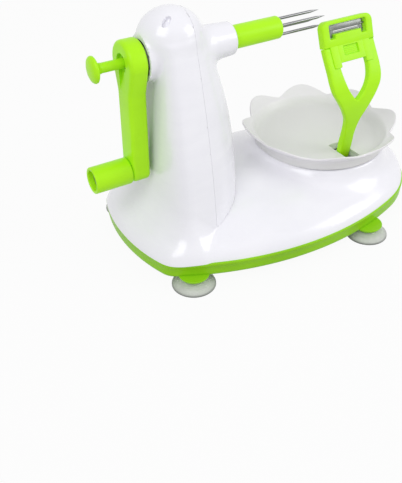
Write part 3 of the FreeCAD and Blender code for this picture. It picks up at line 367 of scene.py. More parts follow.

# Suction cups: soft clear-grey rubber bells under the stubs, each pushed into its stub by a
# neck. The thin lip presses on the table, and there the rubber is painted dark: painted shade where it meets the
# table.
finish, here, output = surface("cup_rubber")
height = here.node("ShaderNodeSeparateXYZ", {}, {"Vector": here}, 2)
cloud = here.node("ShaderNodeTexNoise", {}, {"Vector": here, "Scale": 60.0, "Detail": 3.0})
fine = here.node("ShaderNodeTexNoise", {}, {"Vector": here, "Scale": 1500.0, "Detail": 2.0})
# Painted shade: the colour goes nearly black below 0.6 mm and back to the rubber's tone at 1.6 mm, where the lip meets
# the table.
contact_shade = here.node("ShaderNodeMapRange", {}, {"Value": height, "From Min": 0.0006, "From Max": 0.0016})
tone = cloud.blend((0.66, 0.68, 0.64, 1), (0.76, 0.78, 0.74, 1))
bump = here.node("ShaderNodeBump", {}, {"Strength": 0.12, "Distance": 0.0002, "Height": fine})
shader = here.node("ShaderNodeBsdfPrincipled", {}, {"Base Color": contact_shade.blend((0.17, 0.18, 0.17, 1), tone),
                   "Roughness": 0.28 + 0.12 * cloud, "Normal": bump, "Transmission Weight": 0.3, "IOR": 1.42})
here.tree.links.new(shader.out, output.inputs["Surface"])
cup_rubber = finish
cup_profile = ([(0.0, 9.0), (3.2, 9.0), (3.5, 8.7), (3.5, 5.3)] +
               softened([(3.5, 5.0), (4.6, 4.75), (8.0, 4.2), (11.5, 3.0), (14.3, 1.5), (15.2, 0.95)], 0.8, 3) +
               [(15.3, 0.6), (15.3, 0.2), (15.1, 0.0), (14.7, 0.0), (13.6, 0.7), (11.0, 1.9), (7.5, 2.9),
                (4.0, 3.3), (0.0, 3.3)])
cup = mesh_of("cup", lathed(cup_profile, 64), cup_rubber)
cups = stamped("suction_cups_soft", foot_places, cup, cup_rubber)
settled("suction_cups_soft", cups, "base", ["suction_cups"])

# Shell: one glossy white moulding, the domed top of the base with the collar round the
# turntable and the crank half of the tower. It is pressed on the tray and screwed from below.
white_plastic = moulded("white_plastic", (0.89, 0.885, 0.935, 1), (0.85, 0.845, 0.90, 1), 0.22, 0.35, 0.05)
wall = 2.2
crown_x, crown_top, crown_along, crown_across = 11.0, 45.0, 420.0, 154.0
collar_radius, collar_top, collar_slope = 50.5, 46.5, 0.30
opening_radius = 46.5
tower_foot, tower_rise = 20.0, 144.0
tower_top_half, tower_half_gain, tower_depth_gain = 18.9, 29.1, 32.1
width_power, depth_power = 1.4, 2.65
tower_foot_x, tower_shift = -76.0, 6.0
tower_face_x, tower_face_lean, tower_flare, flare_height = -90.0, 7.7, 4.0, 46.0
blunt_power = 3.4
dome_x, dome_z, dome_radius, dome_stretch = -68.5, 157.0, 20.5, 1.08
spindle_z = 147.0
crank_boss_radius, crank_boss_root = 15.0, -74.0
crank_face_x, crank_face_foot = -89.7, 112.0
fork_boss_radius, fork_boss_root, fork_boss_end, fork_boss_taper = 12.4, -41.5, -23.2, 0.06
fork_boss_back = -48.0
parting_x = -60.0
seam_gap = 0.07


def over(a, b, k):
    # Larger of two distances, rounded over a width of k
    near = np.clip(k - np.abs(a - b), 0.0, None) / k
    return np.maximum(a, b) + near * near * k / 4


def under(a, b, k):
    return -over(-a, -b, k)


def rim_distance(x, y):
    # How far outside the base's outline a point lies; inside it is below nought
    best = np.full(x.shape, 1e9)
    signed = np.zeros(x.shape)
    for (cx, cy, radius), start, end in rim_arcs:
        across, up = x - cx, np.abs(y) - cy
        bearing = np.arctan2(up, across)
        off = np.hypot(across, up) - radius
        hit = (bearing >= start - 0.02) & (bearing <= end + 0.02) & (np.abs(off) < best)
        best = np.where(hit, np.abs(off), best)
        signed = np.where(hit, off, signed)
    return signed


def crown_field(p):
    # The base's domed top and the collar round the turntable
    x, y, z = p[..., 0], p[..., 1], p[..., 2]
    around = crown_across - (crown_along - np.sqrt(crown_along ** 2 - (x - crown_x) ** 2))
    top = np.hypot(y, z + (crown_across - crown_top)) - around
    mound = over(rim_distance(x, y), top, 11.0)
    radius = np.hypot(x - bowl_x, y)
    collar = over((radius - collar_radius - (collar_top - z) * collar_slope) * 0.95, z - collar_top, 1.6)
    return under(mound, collar, 9.0)


def tower_field(p):
    # A column, half ellipse toward the fork and blunt toward the crank, with its dome and two bosses
    x, y, z = p[..., 0], p[..., 1], p[..., 2]
    share = np.clip((z - tower_foot) / tower_rise, 0.0, 1.0)
    half = tower_top_half + tower_half_gain * (1 - share ** width_power)
    depth = tower_top_half + tower_depth_gain * (1 - share ** depth_power)
    middle = tower_foot_x + tower_shift * share
    flare = np.clip(1 - (z - tower_foot) / flare_height, 0.0, 1.0) ** 2
    face = tower_face_x + tower_face_lean * share - tower_flare * flare
    to_fork = x >= middle
    reach = np.where(to_fork, depth, middle - face)
    power = np.where(to_fork, 2.0, blunt_power)
    across = np.abs(x - middle) / reach
    beside = np.abs(y) / half
    section = np.maximum((across ** power + beside ** power) ** (1 / power), 0.02)
    slope = np.hypot((across / section) ** (power - 1) / reach, (beside / section) ** (power - 1) / half)
    body = over((section - 1) / slope, z - (dome_z + 2.0), 2.0)
    dome = np.sqrt(((x - dome_x) / dome_stretch) ** 2 + y ** 2 + (z - dome_z) ** 2) - dome_radius
    around = np.hypot(y, z - spindle_z)
    crank_boss = over(around - crank_boss_radius, x - crank_boss_root, 1.0)
    fork_boss = over(around - fork_boss_radius + (x - fork_boss_root) * fork_boss_taper, x - fork_boss_end, 1.4)
    fork_boss = over(fork_boss, fork_boss_back - x, 1.0)
    form = under(under(body, dome, 3.0), crank_boss, 2.0)
    return under(form, fork_boss, 7.0)


def whole_field(p):
    # Crown and tower in one, with a wide round where the crank face meets the crown
    fade = np.clip((-62.0 - p[..., 0]) / 16.0, 0.0, 1.0)
    return under(crown_field(p), tower_field(p), 1.5 + 20.0 * fade)


def well_axes(side):
    # Where the screw well of that side opens in the dome, which way it faces, and its long and short axis
    way, along = np.array([-0.312, side * 0.556, 0.770]), np.array([0.764, -side * 0.340, 0.556])
    return np.array([-76.4, side * 11.4, 172.8]), way, along, np.cross(way, along)


def well_field(p):
    # The two solid cups that the screw wells are cut in
    cups = []
    for side in (-1, 1):
        middle, way, along, across = well_axes(side)
        rel = p - middle
        oval = np.hypot(rel @ along / 6.2, rel @ across / 4.0)
        cups.append(np.maximum((oval - 1) * 4.0, -5.2 - rel @ way))
    return np.minimum(cups[0], cups[1])


def hollow(form):
    # The inner skin, a wall's thickness inside a form, that goes round the cups
    return lambda p: np.minimum(-wall - form(p), well_field(p))


def distance_grid(walls, low, high, step):
    # The points of a grid, and how far outside the nearest wall each one lies
    axes = [np.arange(low[i], high[i] + step, step) for i in range(3)]
    grid = np.stack(np.meshgrid(*axes, indexing="ij"), axis=-1)
    field = walls[0](grid)
    for wall_field in walls[1:]:
        field = np.maximum(field, wall_field(grid))
    return grid, field


def grown(walls, low, high, step):
    # Surface nets over the space where every wall's distance is below nought; each point is
    # then drawn onto the walls that it lies near, so that edges come out crisp
    grid, field = distance_grid(walls, low, high, step)
    # Where the surface crosses the grid's lines, and the middle of the crossings in each cell
    cells = tuple(size - 1 for size in field.shape)
    total, count = np.zeros(cells + (3,)), np.zeros(cells)
    crossings = []
    both = (slice(None, -1), slice(1, None))
    for axis in range(3):
        near, far = [slice(None)] * 3, [slice(None)] * 3
        near[axis], far[axis] = both
        first, second = field[tuple(near)], field[tuple(far)]
        cross = (first < 0) != (second < 0)
        share = np.where(cross, first / np.where(cross, first - second, 1.0), 0.0)
        place = grid[tuple(near)].copy()
        place[..., axis] += share * step
        place *= cross[..., None]
        b, c = (axis + 1) % 3, (axis + 2) % 3
        for in_b in both:
            for in_c in both:
                pick = [slice(None)] * 3
                pick[b], pick[c] = in_b, in_c
                total += place[tuple(pick)]
                count += cross[tuple(pick)]
        crossings.append((cross, first < 0, b, c))
    number = np.full(cells, -1)
    active = count > 0
    number[active] = np.arange(int(active.sum()))
    points = total[active] / count[active][:, None]
    quads = []
    # A face over each crossing, turned to look outwards
    for cross, filled, b, c in crossings:
        where = np.argwhere(cross)
        where = where[(where[:, b] > 0) & (where[:, b] < cells[b]) & (where[:, c] > 0) & (where[:, c] < cells[c])]
        corners = []
        for step_b, step_c in ((-1, -1), (0, -1), (0, 0), (-1, 0)):
            cell = where.copy()
            cell[:, b] += step_b
            cell[:, c] += step_c
            corners.append(number[cell[:, 0], cell[:, 1], cell[:, 2]])
        quad = np.stack(corners, axis=1)
        outward = filled[where[:, 0], where[:, 1], where[:, 2]]
        quad[~outward] = quad[~outward][:, ::-1]
        quads.append(quad)
    rounds = 6
    for _ in range(rounds):
        values = np.stack([wall_field(points) for wall_field in walls], axis=1)
        near = np.abs(values) < 0.6 * step
        near[np.arange(len(points)), values.argmax(axis=1)] = True
        for wall_number, wall_field in enumerate(walls):
            chosen = near[:, wall_number]
            some = points[chosen]
            value = wall_field(some)
            slope = np.stack([wall_field(some + offset) - wall_field(some - offset)
                              for offset in np.eye(3) * 0.05], axis=1) / 0.1
            length = np.maximum((slope ** 2).sum(axis=1), 0.05)
            move = np.clip(value / length, -0.7 * step, 0.7 * step)
            points[chosen] = some - slope * move[:, None]
    return points, np.concatenate(quads).tolist()


def bowl_opening(p):
    return opening_radius - np.hypot(p[..., 0] - bowl_x, p[..., 1])


def crank_face(p):
    return np.minimum(crank_face_x - p[..., 0], p[..., 2] - crank_face_foot)


cell_size = 1.3
shell_walls = [whole_field, hollow(whole_field), lambda p: tray_top - p[..., 2], bowl_opening, crank_face,
               lambda p: np.minimum(p[..., 0] - parting_x + seam_gap, crown_field(p))]
shell_part = grown(shell_walls, (-112.0, -82.0, 15.0), (134.0, 82.0, 180.5), cell_size)


def carved(mesh, *cutters):
    # The mesh with other closed forms taken out of it
    piece = bpy.data.objects.new("carving", mesh)
    bpy.context.scene.collection.objects.link(piece)
    tools = []
    for part in cutters:
        tool = bpy.data.objects.new("tool", mesh_of("tool", part, mesh.materials[0]))
        bpy.context.scene.collection.objects.link(tool)
        modifier = piece.modifiers.new("carve", "BOOLEAN")
        modifier.operation, modifier.solver, modifier.object = "DIFFERENCE", "EXACT", tool
        tools.append(tool)
    graph = bpy.context.evaluated_depsgraph_get()
    made = bpy.data.meshes.new_from_object(piece.evaluated_get(graph))
    for old in [piece] + tools:
        bpy.data.objects.remove(old)
    while len(made.materials) > 1:
        made.materials.pop(index=len(made.materials) - 1)
    made.polygons.foreach_set("material_index", [0] * len(made.polygons))
    made.shade_smooth()
    made.set_sharp_from_angle(angle=math.radians(38))
    return made


bores = []
bore_long, bore_short = 4.6, 2.4
for side in (-1, 1):
    middle, way, along, across = well_axes(side)
    bores.append(ringed([[tuple(middle + way * depth + along * bore_long * share * math.cos(a)
                                + across * bore_short * share * math.sin(a))
                          for a in np.linspace(0, 2 * math.pi, 41)[:-1]]
                         for depth, share in ((-3.8, 0.6), (-3.3, 0.8), (0.0, 1.0), (5.0, 1.15))]))
shell_mesh = carved(mesh_of("shell", shell_part, white_plastic, 38.0, False), together(*bores))
settled("shell", shell_mesh, "base", ["body_shell"])

# Tower cover: the fork half of the tower, a second white moulding that stands on the shell
# and is held by the two oblique screws. Its boss carries the sleeve of the fork.
cover_gap = 0.15
boss_bore, boss_bore_end = 8.35, -43.0
cover_walls = [tower_field, hollow(tower_field), lambda p: parting_x + seam_gap - p[..., 0],
               lambda p: cover_gap - crown_field(p),
               lambda p: np.minimum(boss_bore - np.hypot(p[..., 1], p[..., 2] - spindle_z),
                                    p[..., 0] - boss_bore_end)]
cover_part = grown(cover_walls, (-62.5, -52.0, 20.0), (-17.5, 52.0, 180.5), cell_size)
cover_mesh = mesh_of("cover", cover_part, white_plastic, 38.0, False)
settled("cover", cover_mesh, "base", ["tower_cover"])


# Crank arm: a green moulded lever, hollow on its inner side, pressed on the spindle. The
# round recess in its hub and the channel below it clear the rod of the ejector.
def outward(loop):
    # Direction out of the material at each corner. The outline runs left round, a hole right round
    line = np.array(loop)
    before = line - np.roll(line, 1, axis=0)
    after = np.roll(line, -1, axis=0) - line
    before /= np.maximum(np.linalg.norm(before, axis=1), 1e-9)[:, None]
    after /= np.maximum(np.linalg.norm(after, axis=1), 1e-9)[:, None]
    first = np.stack([before[:, 1], -before[:, 0]], axis=1)
    second = np.stack([after[:, 1], -after[:, 0]], axis=1)
    middle = first + second
    middle /= np.maximum(np.linalg.norm(middle, axis=1), 1e-9)[:, None]
    return middle / np.clip((middle * second).sum(axis=1), 0.5, 1.0)[:, None]


def inside(points, loop):
    # Which of the points lie within the loop
    line = np.array(loop)
    odd = np.zeros(len(points), bool)
    for (ax, ay), (bx, by) in zip(line, np.roll(line, -1, axis=0)):
        crosses = (ay > points[:, 1]) != (by > points[:, 1])
        at = (bx - ax) * (points[:, 1] - ay) / np.where(by == ay, 1.0, by - ay) + ax
        odd ^= crosses & (points[:, 0] < at)
    return odd


def within(points, loops):
    # Which of the points lie within the first loop and outside the others
    keep = inside(points, loops[0])
    for hole in loops[1:]:
        keep &= ~inside(points, hole)
    return keep


def arc(x, y, radius, start, end, count):
    # Points on a circle, from one bearing to another
    return [(x + radius * math.cos(a), y + radius * math.sin(a)) for a in np.linspace(start, end, count)]


def slab(loops, thick, edge, spacing=None, steps=4):
    # A flat moulding with rounded edges, drawn in X and Y, its thickness along Z. It has a ring of
    # points round every edge for each row, from the back face over the rounding to the front face
    rows = []
    for number in range(steps + 1):
        a = math.pi / 2 * number / steps
        rows.append((edge * (1 - math.sin(a)), -thick / 2 + edge * (1 - math.cos(a))))
    rows += [(inset, -z) for inset, z in rows[::-1]]
    points, faces, starts = [], [], []
    for loop in loops:
        line, way = np.array(loop, float), outward(loop)
        first = len(points)
        starts.append(first)
        for inset, z in rows:
            points.extend([(x, y, z) for x, y in line - way * inset])
        size = len(loop)
        for row in range(len(rows) - 1):
            for n in range(size):
                m = (n + 1) % size
                low, high = first + row * size, first + (row + 1) * size
                faces.append([low + n, low + m, high + m, high + n])
    # Both faces, filled between the outline and the holes, with points inside them if asked for
    flat, owners, edges = [], [], []
    for loop, first in zip(loops, starts):
        size, begin = len(loop), len(flat)
        flat.extend([Vector(points[first + n][:2]) for n in range(size)])
        owners.extend([(first + n, first + (len(rows) - 1) * size + n) for n in range(size)])
        edges.extend([(begin + n, begin + (n + 1) % size) for n in range(size)])
    loops_in = [[points[first + n][:2] for n in range(len(loop))] for loop, first in zip(loops, starts)]
    if spacing:
        outline = np.array(loops_in[0])
        xs = np.arange(outline[:, 0].min(), outline[:, 0].max(), spacing)
        ys = np.arange(outline[:, 1].min(), outline[:, 1].max(), spacing)
        spread = np.array([(x, y) for x in xs for y in ys]) + 0.013
        spread = spread[within(spread, loops_in)]
        border = np.concatenate([np.array(line) for line in loops_in])
        gaps = np.array([np.hypot(*(border - p).T).min() for p in spread])
        for x, y in spread[gaps > spacing * 0.45]:
            flat.append(Vector((x, y)))
            owners.append((len(points), len(points) + 1))
            points.extend([(x, y, -thick / 2), (x, y, thick / 2)])
    placed, _, triangles, origins, _, _ = delaunay_2d_cdt(flat, edges, [], 0, 1e-6)
    middles = np.array([np.mean([placed[c] for c in triangle], axis=0) for triangle in triangles])
    for triangle, kept in zip(triangles, within(middles, loops_in)):
        if kept:
            corners = [owners[origins[c][0]] for c in triangle]
            faces.append([corner[0] for corner in corners][::-1])
            faces.append([corner[1] for corner in corners])
    return points, faces


def crank_line(inset):
    # Hub circle, straight neck, rounded foot; y across and z up from the spindle
    hub, half, low, corner = 14.5 - inset, 9.0 - inset, -85.4 + inset, 6.0 - inset
    neck = 21.0
    spread = math.acos(hub / math.hypot(half, neck)) + math.atan2(-neck, half)
    line = arc(0.0, 0.0, hub, spread, math.pi - spread, 48)
    line += [(-half - 0.3, -20.0), (-half, -22.5)]
    line += [(-half, y) for y in np.linspace(-30, low + corner + 3, 6)]
    line += arc(-half + corner, low + corner, corner, math.pi, 1.5 * math.pi, 9)
    line += arc(half - corner, low + corner, corner, 1.5 * math.pi, 2 * math.pi, 9)
    line += [(half, y) for y in np.linspace(low + corner + 3, -30, 6)]
    line += [(half, -22.5), (half + 0.3, -20.0)]
    return line


lever_inner, lever_outer, lever_thickness = -90.5, -103.2, 12.7
lever_core = 10.0
grip_z = 69.0


def faced_left(part, middle):
    # Stands a slab upright across X, its front to the left
    points, faces = part
    return [(middle - z, -x, spindle_z + y) for x, y, z in points], faces


lever = mesh_of("lever", faced_left(slab([crank_line(0.0)], lever_thickness, 2.6, steps=6),
                                    (lever_inner + lever_outer) / 2), green_plastic)
pocket = faced_left(slab([crank_line(2.4)], lever_core, 0.8), lever_inner - 4.0)
recess = lathed(softened([(0.0, lever_outer + 3.0), (6.5, lever_outer + 3.0), (6.5, lever_outer - 3.0),
                          (0.0, lever_outer - 3.0)], 0.8), 56, (0.0, spindle_z), along_x=True)
bore = lathed([(0.0, lever_outer - 3.0), (4.9, lever_outer - 3.0), (4.9, lever_inner + 1.0), (0.0, lever_inner + 1.0)],
              40, (0.0, spindle_z), along_x=True)
trough_line = [(-3.0, 4.3, 2.0), (2.8, 4.3, 2.0), (2.6, 4.3, -4.0), (1.6, 4.0, -11.0), (0.0, 3.6, -19.0),
               (-3.0, 3.6, -19.5)]
trough = [[(lever_outer + x, side * half, spindle_z + z) for x, half, z in trough_line] for side in (-1, 1)]
lever = carved(lever, pocket, recess, bore, ringed(trough))
hub_tube = mesh_of("hub_tube", lathed([(5.0, -100.0), (7.4, -100.0), (7.4, -90.9), (7.1, -90.6), (5.3, -90.6),
                                       (5.0, -90.9)], 48, (0.0, spindle_z), closed=True, along_x=True),
                   green_plastic)
pin_tube = mesh_of("pin_tube", lathed([(3.0, -100.0), (5.4, -100.0), (5.4, -90.6), (3.0, -90.6)], 40,
                                      (0.0, grip_z), closed=True, along_x=True), green_plastic)
settled("crank_lever", joined_mesh("crank_lever", lever, hub_tube, pin_tube), "crank",
        ["crank_arm"])

# Grip: a green moulded roller with a smooth straight barrel and a recess at its outer end.
# It turns on a steel pin that is pressed into the crank arm.
grip_profile = softened([(3.1, -124.7), (7.0, -124.7), (7.0, -130.0), (9.2, -130.0), (9.2, -103.5),
                         (3.1, -103.5)], 1.0, 5)
settled("grip_roller", mesh_of("grip_roller", lathed(grip_profile, 80, (0.0, grip_z), closed=True, along_x=True),
                               green_plastic), "grip", ["crank_grip"])

# Ejector button: a domed green knob on a stem that slides in the spindle. It is pushed by
# the thumb to press the cored fruit off the fork.
button_profile = [(0.0, -124.6), (3.5, -124.5), (6.2, -124.1), (7.9, -123.4), (8.6, -122.6), (8.8, -121.9),
                  (8.6, -121.2), (7.9, -120.7), (6.0, -120.3), (4.5, -119.6), (3.7, -118.3), (3.3, -116.5),
                  (3.3, -101.0), (1.6, -101.0), (1.6, -120.0), (0.0, -120.0)]
settled("button", mesh_of("button", lathed(button_profile, 72, (0.0, spindle_z), along_x=True), green_plastic),
        "ejector", ["ejector_button"])

# Ejector sleeve: the green tube round the fork's hub, with four holes in its rounded cap for
# the tines. It slides forward along them when the button is pushed.
sleeve_profile = softened([(7.0, 13.5), (7.0, -38.4), (8.1, -38.4), (8.0, -8.0), (7.9, 15.8), (0.0, 15.8)],
                          1.6, 6)
sleeve_profile = [(0.0, 13.5)] + sleeve_profile
sleeve = mesh_of("sleeve", lathed(sleeve_profile, 72, (0.0, spindle_z), along_x=True), green_plastic)
tine_turn, tine_circle = -29.0, 5.4
tine_bearings = [math.radians(tine_turn + 90 * number) for number in range(4)]
tine_places = [(-tine_circle * math.sin(a), spindle_z + tine_circle * math.cos(a)) for a in tine_bearings]
tine_hole = 1.25
holes = [lathed([(0.0, 12.0), (tine_hole, 12.0), (tine_hole, 18.0), (0.0, 18.0)], 20, place, along_x=True)
         for place in tine_places]
settled("sleeve", carved(sleeve, together(*holes)), "ejector", ["ejector_sleeve"])


# Fork: four ground steel tines with long points, pressed into a plastic hub on the spindle.
# Grinding leaves fine marks along them, and they reflect the pale room.
def ground_steel(name, marks, stains, dark, light, depth, gloss):
    # Steel with grinding marks along X: the marks' and stains' scales and detail, two tones, the
    # marks' depth, and the gloss with what the marks take from it
    finish, here, output = surface(name)
    along, across, fineness = marks
    stretched = here.node("ShaderNodeVectorMath", {"operation": "MULTIPLY"}, {0: here, 1: (along, across, across)})
    grind = here.node("ShaderNodeTexNoise", {}, {"Vector": stretched, "Scale": 1.0, "Detail": fineness})
    stain = here.node("ShaderNodeTexNoise", {}, {"Vector": here, "Scale": stains[0], "Detail": stains[1]})
    bump = here.node("ShaderNodeBump", {}, {"Strength": depth, "Distance": 0.0001, "Height": grind})
    shader = here.node("ShaderNodeBsdfPrincipled", {}, {"Base Color": stain.blend(dark, light), "Metallic": 1.0,
                       "Roughness": gloss[0] + gloss[1] * grind, "Normal": bump})
    here.tree.links.new(shader.out, output.inputs["Surface"])
    return finish


fork_steel = ground_steel("fork_steel", (60.0, 2600.0, 3.0), (90.0, 2.0), (0.20, 0.20, 0.21, 1),
                          (0.32, 0.32, 0.33, 1), 0.15, (0.22, 0.2))
tine_profile = [(0.0, 4.0), (1.05, 4.0), (1.05, 44.9), (0.98, 46.0), (0.12, 52.7), (0.0, 52.9)]
tine = mesh_of("tine", lathed(tine_profile, 28, along_x=True), fork_steel)
tines = stamped("tines", [(0.0, y, z) for y, z in tine_places], tine, fork_steel)
settled("tines", tines, "crank", ["fork_tines"])

# Tower screws: two self-cutting steel screws that reach through the wells of the dome and
# hold the cover to the shell.
slant = math.radians(26.6)
screw_x, screw_y, screw_z = -76.5, 11.5, 172.8
screw_profile = [(0.0, 7.6), (1.0, 7.6), (1.2, 7.9), (2.2, 7.7), (2.7, 8.2), (2.7, 9.0), (1.3, 10.4), (1.25, 22.0),
                 (0.0, 24.5)]
screws = []
for side in (-1, 1):
    points, faces = lathed(screw_profile, 32, along_x=True)
    screws.append(([(screw_x + x * math.cos(slant) + z * math.sin(slant), side * screw_y + y,
                     screw_z - x * math.sin(slant) + z * math.cos(slant)) for x, y, z in points], faces))
settled("dome_screws", mesh_of("dome_screws", together(*screws), fork_steel), "base", ["tower_screws"])

# Bowl: a shallow frosted dish with eight petals, hooked on the turntable. Its floor has the
# long slot that the peeling arm comes up through.
finish, here, output = surface("bowl_plastic")
cloud = here.node("ShaderNodeTexNoise", {}, {"Vector": here, "Scale": 26.0, "Detail": 4.0})
fine = here.node("ShaderNodeTexNoise", {}, {"Vector": here, "Scale": 1800.0, "Detail": 2.0})
height = here.node("ShaderNodeSeparateXYZ", {}, {"Vector": here}, 2)
# Painted light and shade: the dish below 52 mm is painted darker and the petals above 58 mm lighter, as light through
# the thin petals and shade in the dish would make them.
petal_light_mask = here.node("ShaderNodeMapRange", {}, {"Value": height, "From Min": 0.052, "From Max": 0.058})
tone = petal_light_mask.blend((0.74, 0.74, 0.73, 1), (0.86, 0.84, 0.87, 1))
shade = (cloud * 0.4).blend(tone, (0.78, 0.77, 0.79, 1))
bump = here.node("ShaderNodeBump", {}, {"Strength": 0.08, "Distance": 0.0002, "Height": fine})
shader = here.node("ShaderNodeBsdfPrincipled", {}, {"Base Color": shade, "Roughness": 0.32 + 0.12 * cloud,
                   "Normal": bump, "Subsurface Weight": 0.15, "Subsurface Radius": (0.003, 0.003, 0.003)})
here.tree.links.new(shader.out, output.inputs["Surface"])
bowl_plastic = finish
petals, per_petal = 8, 36
flange_radius, flange_z = 52.2, 57.0
turns = [2 * math.pi * number / (petals * per_petal) for number in range(petals * per_petal)]
bowl_rings = []


def bowl_ring(rule):
    # Adds a ring of points, its radius and height at each bearing taken from the rule
    ring = []
    for bearing in turns:
        radius, z = rule(bearing)
        ring.append((bowl_x + radius * math.cos(bearing), radius * math.sin(bearing), z))
    bowl_rings.append(ring)


def petal(share, lift):
    # A row of the flange, from the fold to the petals' edge; the lift is off its middle plane
    def rule(bearing):
        swell = (0.5 - 0.5 * math.cos(petals * bearing)) ** 0.62
        radius = flange_radius + share * (2.1 + 6.6 * swell)
        out = radius - flange_radius
        return radius - 0.45 * lift, flange_z + 0.4 * out + 0.044 * out * out + 0.9 * lift
    return rule


for row in ((1.5, 50.4), (20.0, 50.4), (36.0, 50.4), (42.5, 50.45), (45.4, 50.8), (47.4, 51.6), (48.9, 52.9),
            (50.0, 54.5), (50.9, 56.3), (51.5, 57.3)):
    bowl_ring(lambda bearing: row)
for share, lift in ((0.08, 0.8), (0.3, 0.7), (0.55, 0.7), (0.8, 0.75), (0.93, 0.75), (0.98, 0.5), (1.0, 0.0),
                    (0.98, -0.5), (0.93, -0.7), (0.8, -0.7), (0.55, -0.7), (0.3, -0.7), (0.1, -0.8)):
    bowl_ring(petal(share, lift))
for row in ((flange_radius, 55.6), (51.5, 53.6), (50.9, 51.4), (50.6, 49.4), (50.4, 47.8), (50.1, 47.35), (49.3, 47.3),
            (48.8, 47.6), (48.7, 48.1), (30.0, 48.1), (1.5, 48.1)):
    bowl_ring(lambda bearing: row)
bowl_mesh = mesh_of("bowl_dish", ringed(bowl_rings), bowl_plastic, 50.0)
slot_half, slot_back, slot_front, slot_corner = 4.6, -20.0, -45.0, 1.0
slot_line = []
for side, y, start in ((slot_half, slot_back, 0.0), (-slot_half, slot_back, 0.5), (-slot_half, slot_front, 1.0),
                       (slot_half, slot_front, 1.5)):
    slot_line += arc(bowl_x + side, y, slot_corner, start * math.pi, (start + 0.5) * math.pi, 5)
slot_cut = ringed([[(x, y, z) for x, y in slot_line] for z in (44.0, 53.0)])
settled("bowl_dish", carved(bowl_mesh, slot_cut), "turntable", ["bowl"])


# Peeling arm: a springy green moulding hinged under the bowl. It bends toward the fruit at
# half height and spreads into two prongs that hold the blade head.
def eased(points, per=6):
    # A smooth line through the points
    line = [points[0]] + list(points) + [points[-1]]
    made = []
    for a, b, c, d in zip(line, line[1:], line[2:], line[3:]):
        a, b, c, d = (np.array(p, float) for p in (a, b, c, d))
        for n in range(per):
            t = n / per
            made.append(tuple(0.5 * (2 * b + (c - a) * t + (2 * a - 5 * b + 4 * c - d) * t ** 2
                                     + (3 * b - a - 3 * c + d) * t ** 3)))
    made.append(tuple(points[-1]))
    return made


def straight(start, end, count):
    # Evenly spaced points from the start up to, but without, the end
    return [(start[0] + (end[0] - start[0]) * n / count, start[1] + (end[1] - start[1]) * n / count)
            for n in range(count)]


seam_z = 133.0
hinge_y, hinge_z = -28.0, 38.0
arm_thickness = 5.0
right_side = eased([(4.9, 36.0), (4.9, 48.0), (5.2, 58.0), (5.0, 66.0), (5.6, 74.0), (7.0, 80.0), (9.9, 86.0),
                    (13.2, 92.0), (17.2, 98.5), (20.8, 105.0), (22.3, 111.5), (22.5, 118.0), (22.5, 126.0),
                    (22.4, seam_z)], 5)
inner_right = [(12.0, seam_z)] + eased([(12.0, 124.0), (12.0, 118.5), (10.7, 112.0), (8.0, 105.5), (4.4, 100.2),
                                       (0.9, 96.3)], 5) + [(0.0, 95.9)]
arm_half = right_side + straight((22.4, seam_z), (12.0, seam_z), 4)[1:] + inner_right
arm_line = arm_half + [(-x, z) for x, z in arm_half[-2::-1]]
arm_bend = np.array(eased([(-27.2, 34.0), (-28.8, 42.0), (-30.3, 50.0), (-31.4, 58.0), (-32.7, 66.0), (-34.6, 75.0),
                           (-36.5, 84.0), (-37.6, 93.0), (-37.2, 101.0), (-35.4, 109.0), (-32.3, 116.0),
                           (-28.8, 122.0), (-25.4, 127.5), (-22.16, seam_z), (-19.3, 138.0)], 12))
arm_slope = np.gradient(arm_bend[:, 0], arm_bend[:, 1])


def bent(points):
    # Lays a flat form on the arm's bent line: the second coordinate becomes height, the third goes outward
    placed = []
    for x, z, out in points:
        y = np.interp(z, arm_bend[:, 1], arm_bend[:, 0])
        slope = math.atan(np.interp(z, arm_bend[:, 1], arm_slope))
        placed.append((bowl_x + x, float(y) - out * math.cos(slope), z + out * math.sin(slope)))
    return placed


arm_points, arm_faces = slab([arm_line], arm_thickness, 1.1, spacing=2.6)
arm_mesh = mesh_of("arm_body", (bent(arm_points), arm_faces), green_plastic)
foot_mesh = mesh_of("arm_foot", lathed([(1.55, 56.3), (3.9, 56.1), (4.2, 56.5), (4.2, 65.5), (3.9, 65.9),
                                        (1.55, 65.7)], 40, (hinge_y, hinge_z), closed=True, along_x=True),
                    green_plastic)
settled("arm", joined_mesh("arm", arm_mesh, foot_mesh), "arm", ["peeler_arm"])

# Blade head: a green cross bar that plugs between the prongs with a tongue and two tabs. Its
# window holds the blade, and small ears at the window's lower corners catch the blade's hooks.
lean = math.atan2(22.0, 62.5)
seam_y = -38.0 + math.tan(lean) * 45.0


def on_head(part):
    # Stands a flat form in the head's plane, its second coordinate up from the seam
    points, faces = part
    return [(bowl_x + x, seam_y + t * math.sin(lean) - out * math.cos(lean),
             seam_z + t * math.cos(lean) + out * math.sin(lean)) for x, t, out in points], faces


def lifted(part, by):
    return [(x, t, out + by) for x, t, out in part[0]], part[1]


def box_line(x0, x1, y0, y1, radius, steps=5):
    # Outline of a rectangle with rounded corners
    line = []
    for cx, cy, start in ((x1 - radius, y0 + radius, -0.5), (x1 - radius, y1 - radius, 0.0),
                          (x0 + radius, y1 - radius, 0.5), (x0 + radius, y0 + radius, 1.0)):
        line += arc(cx, cy, radius, start * math.pi, (start + 0.5) * math.pi, steps + 1)
    return line


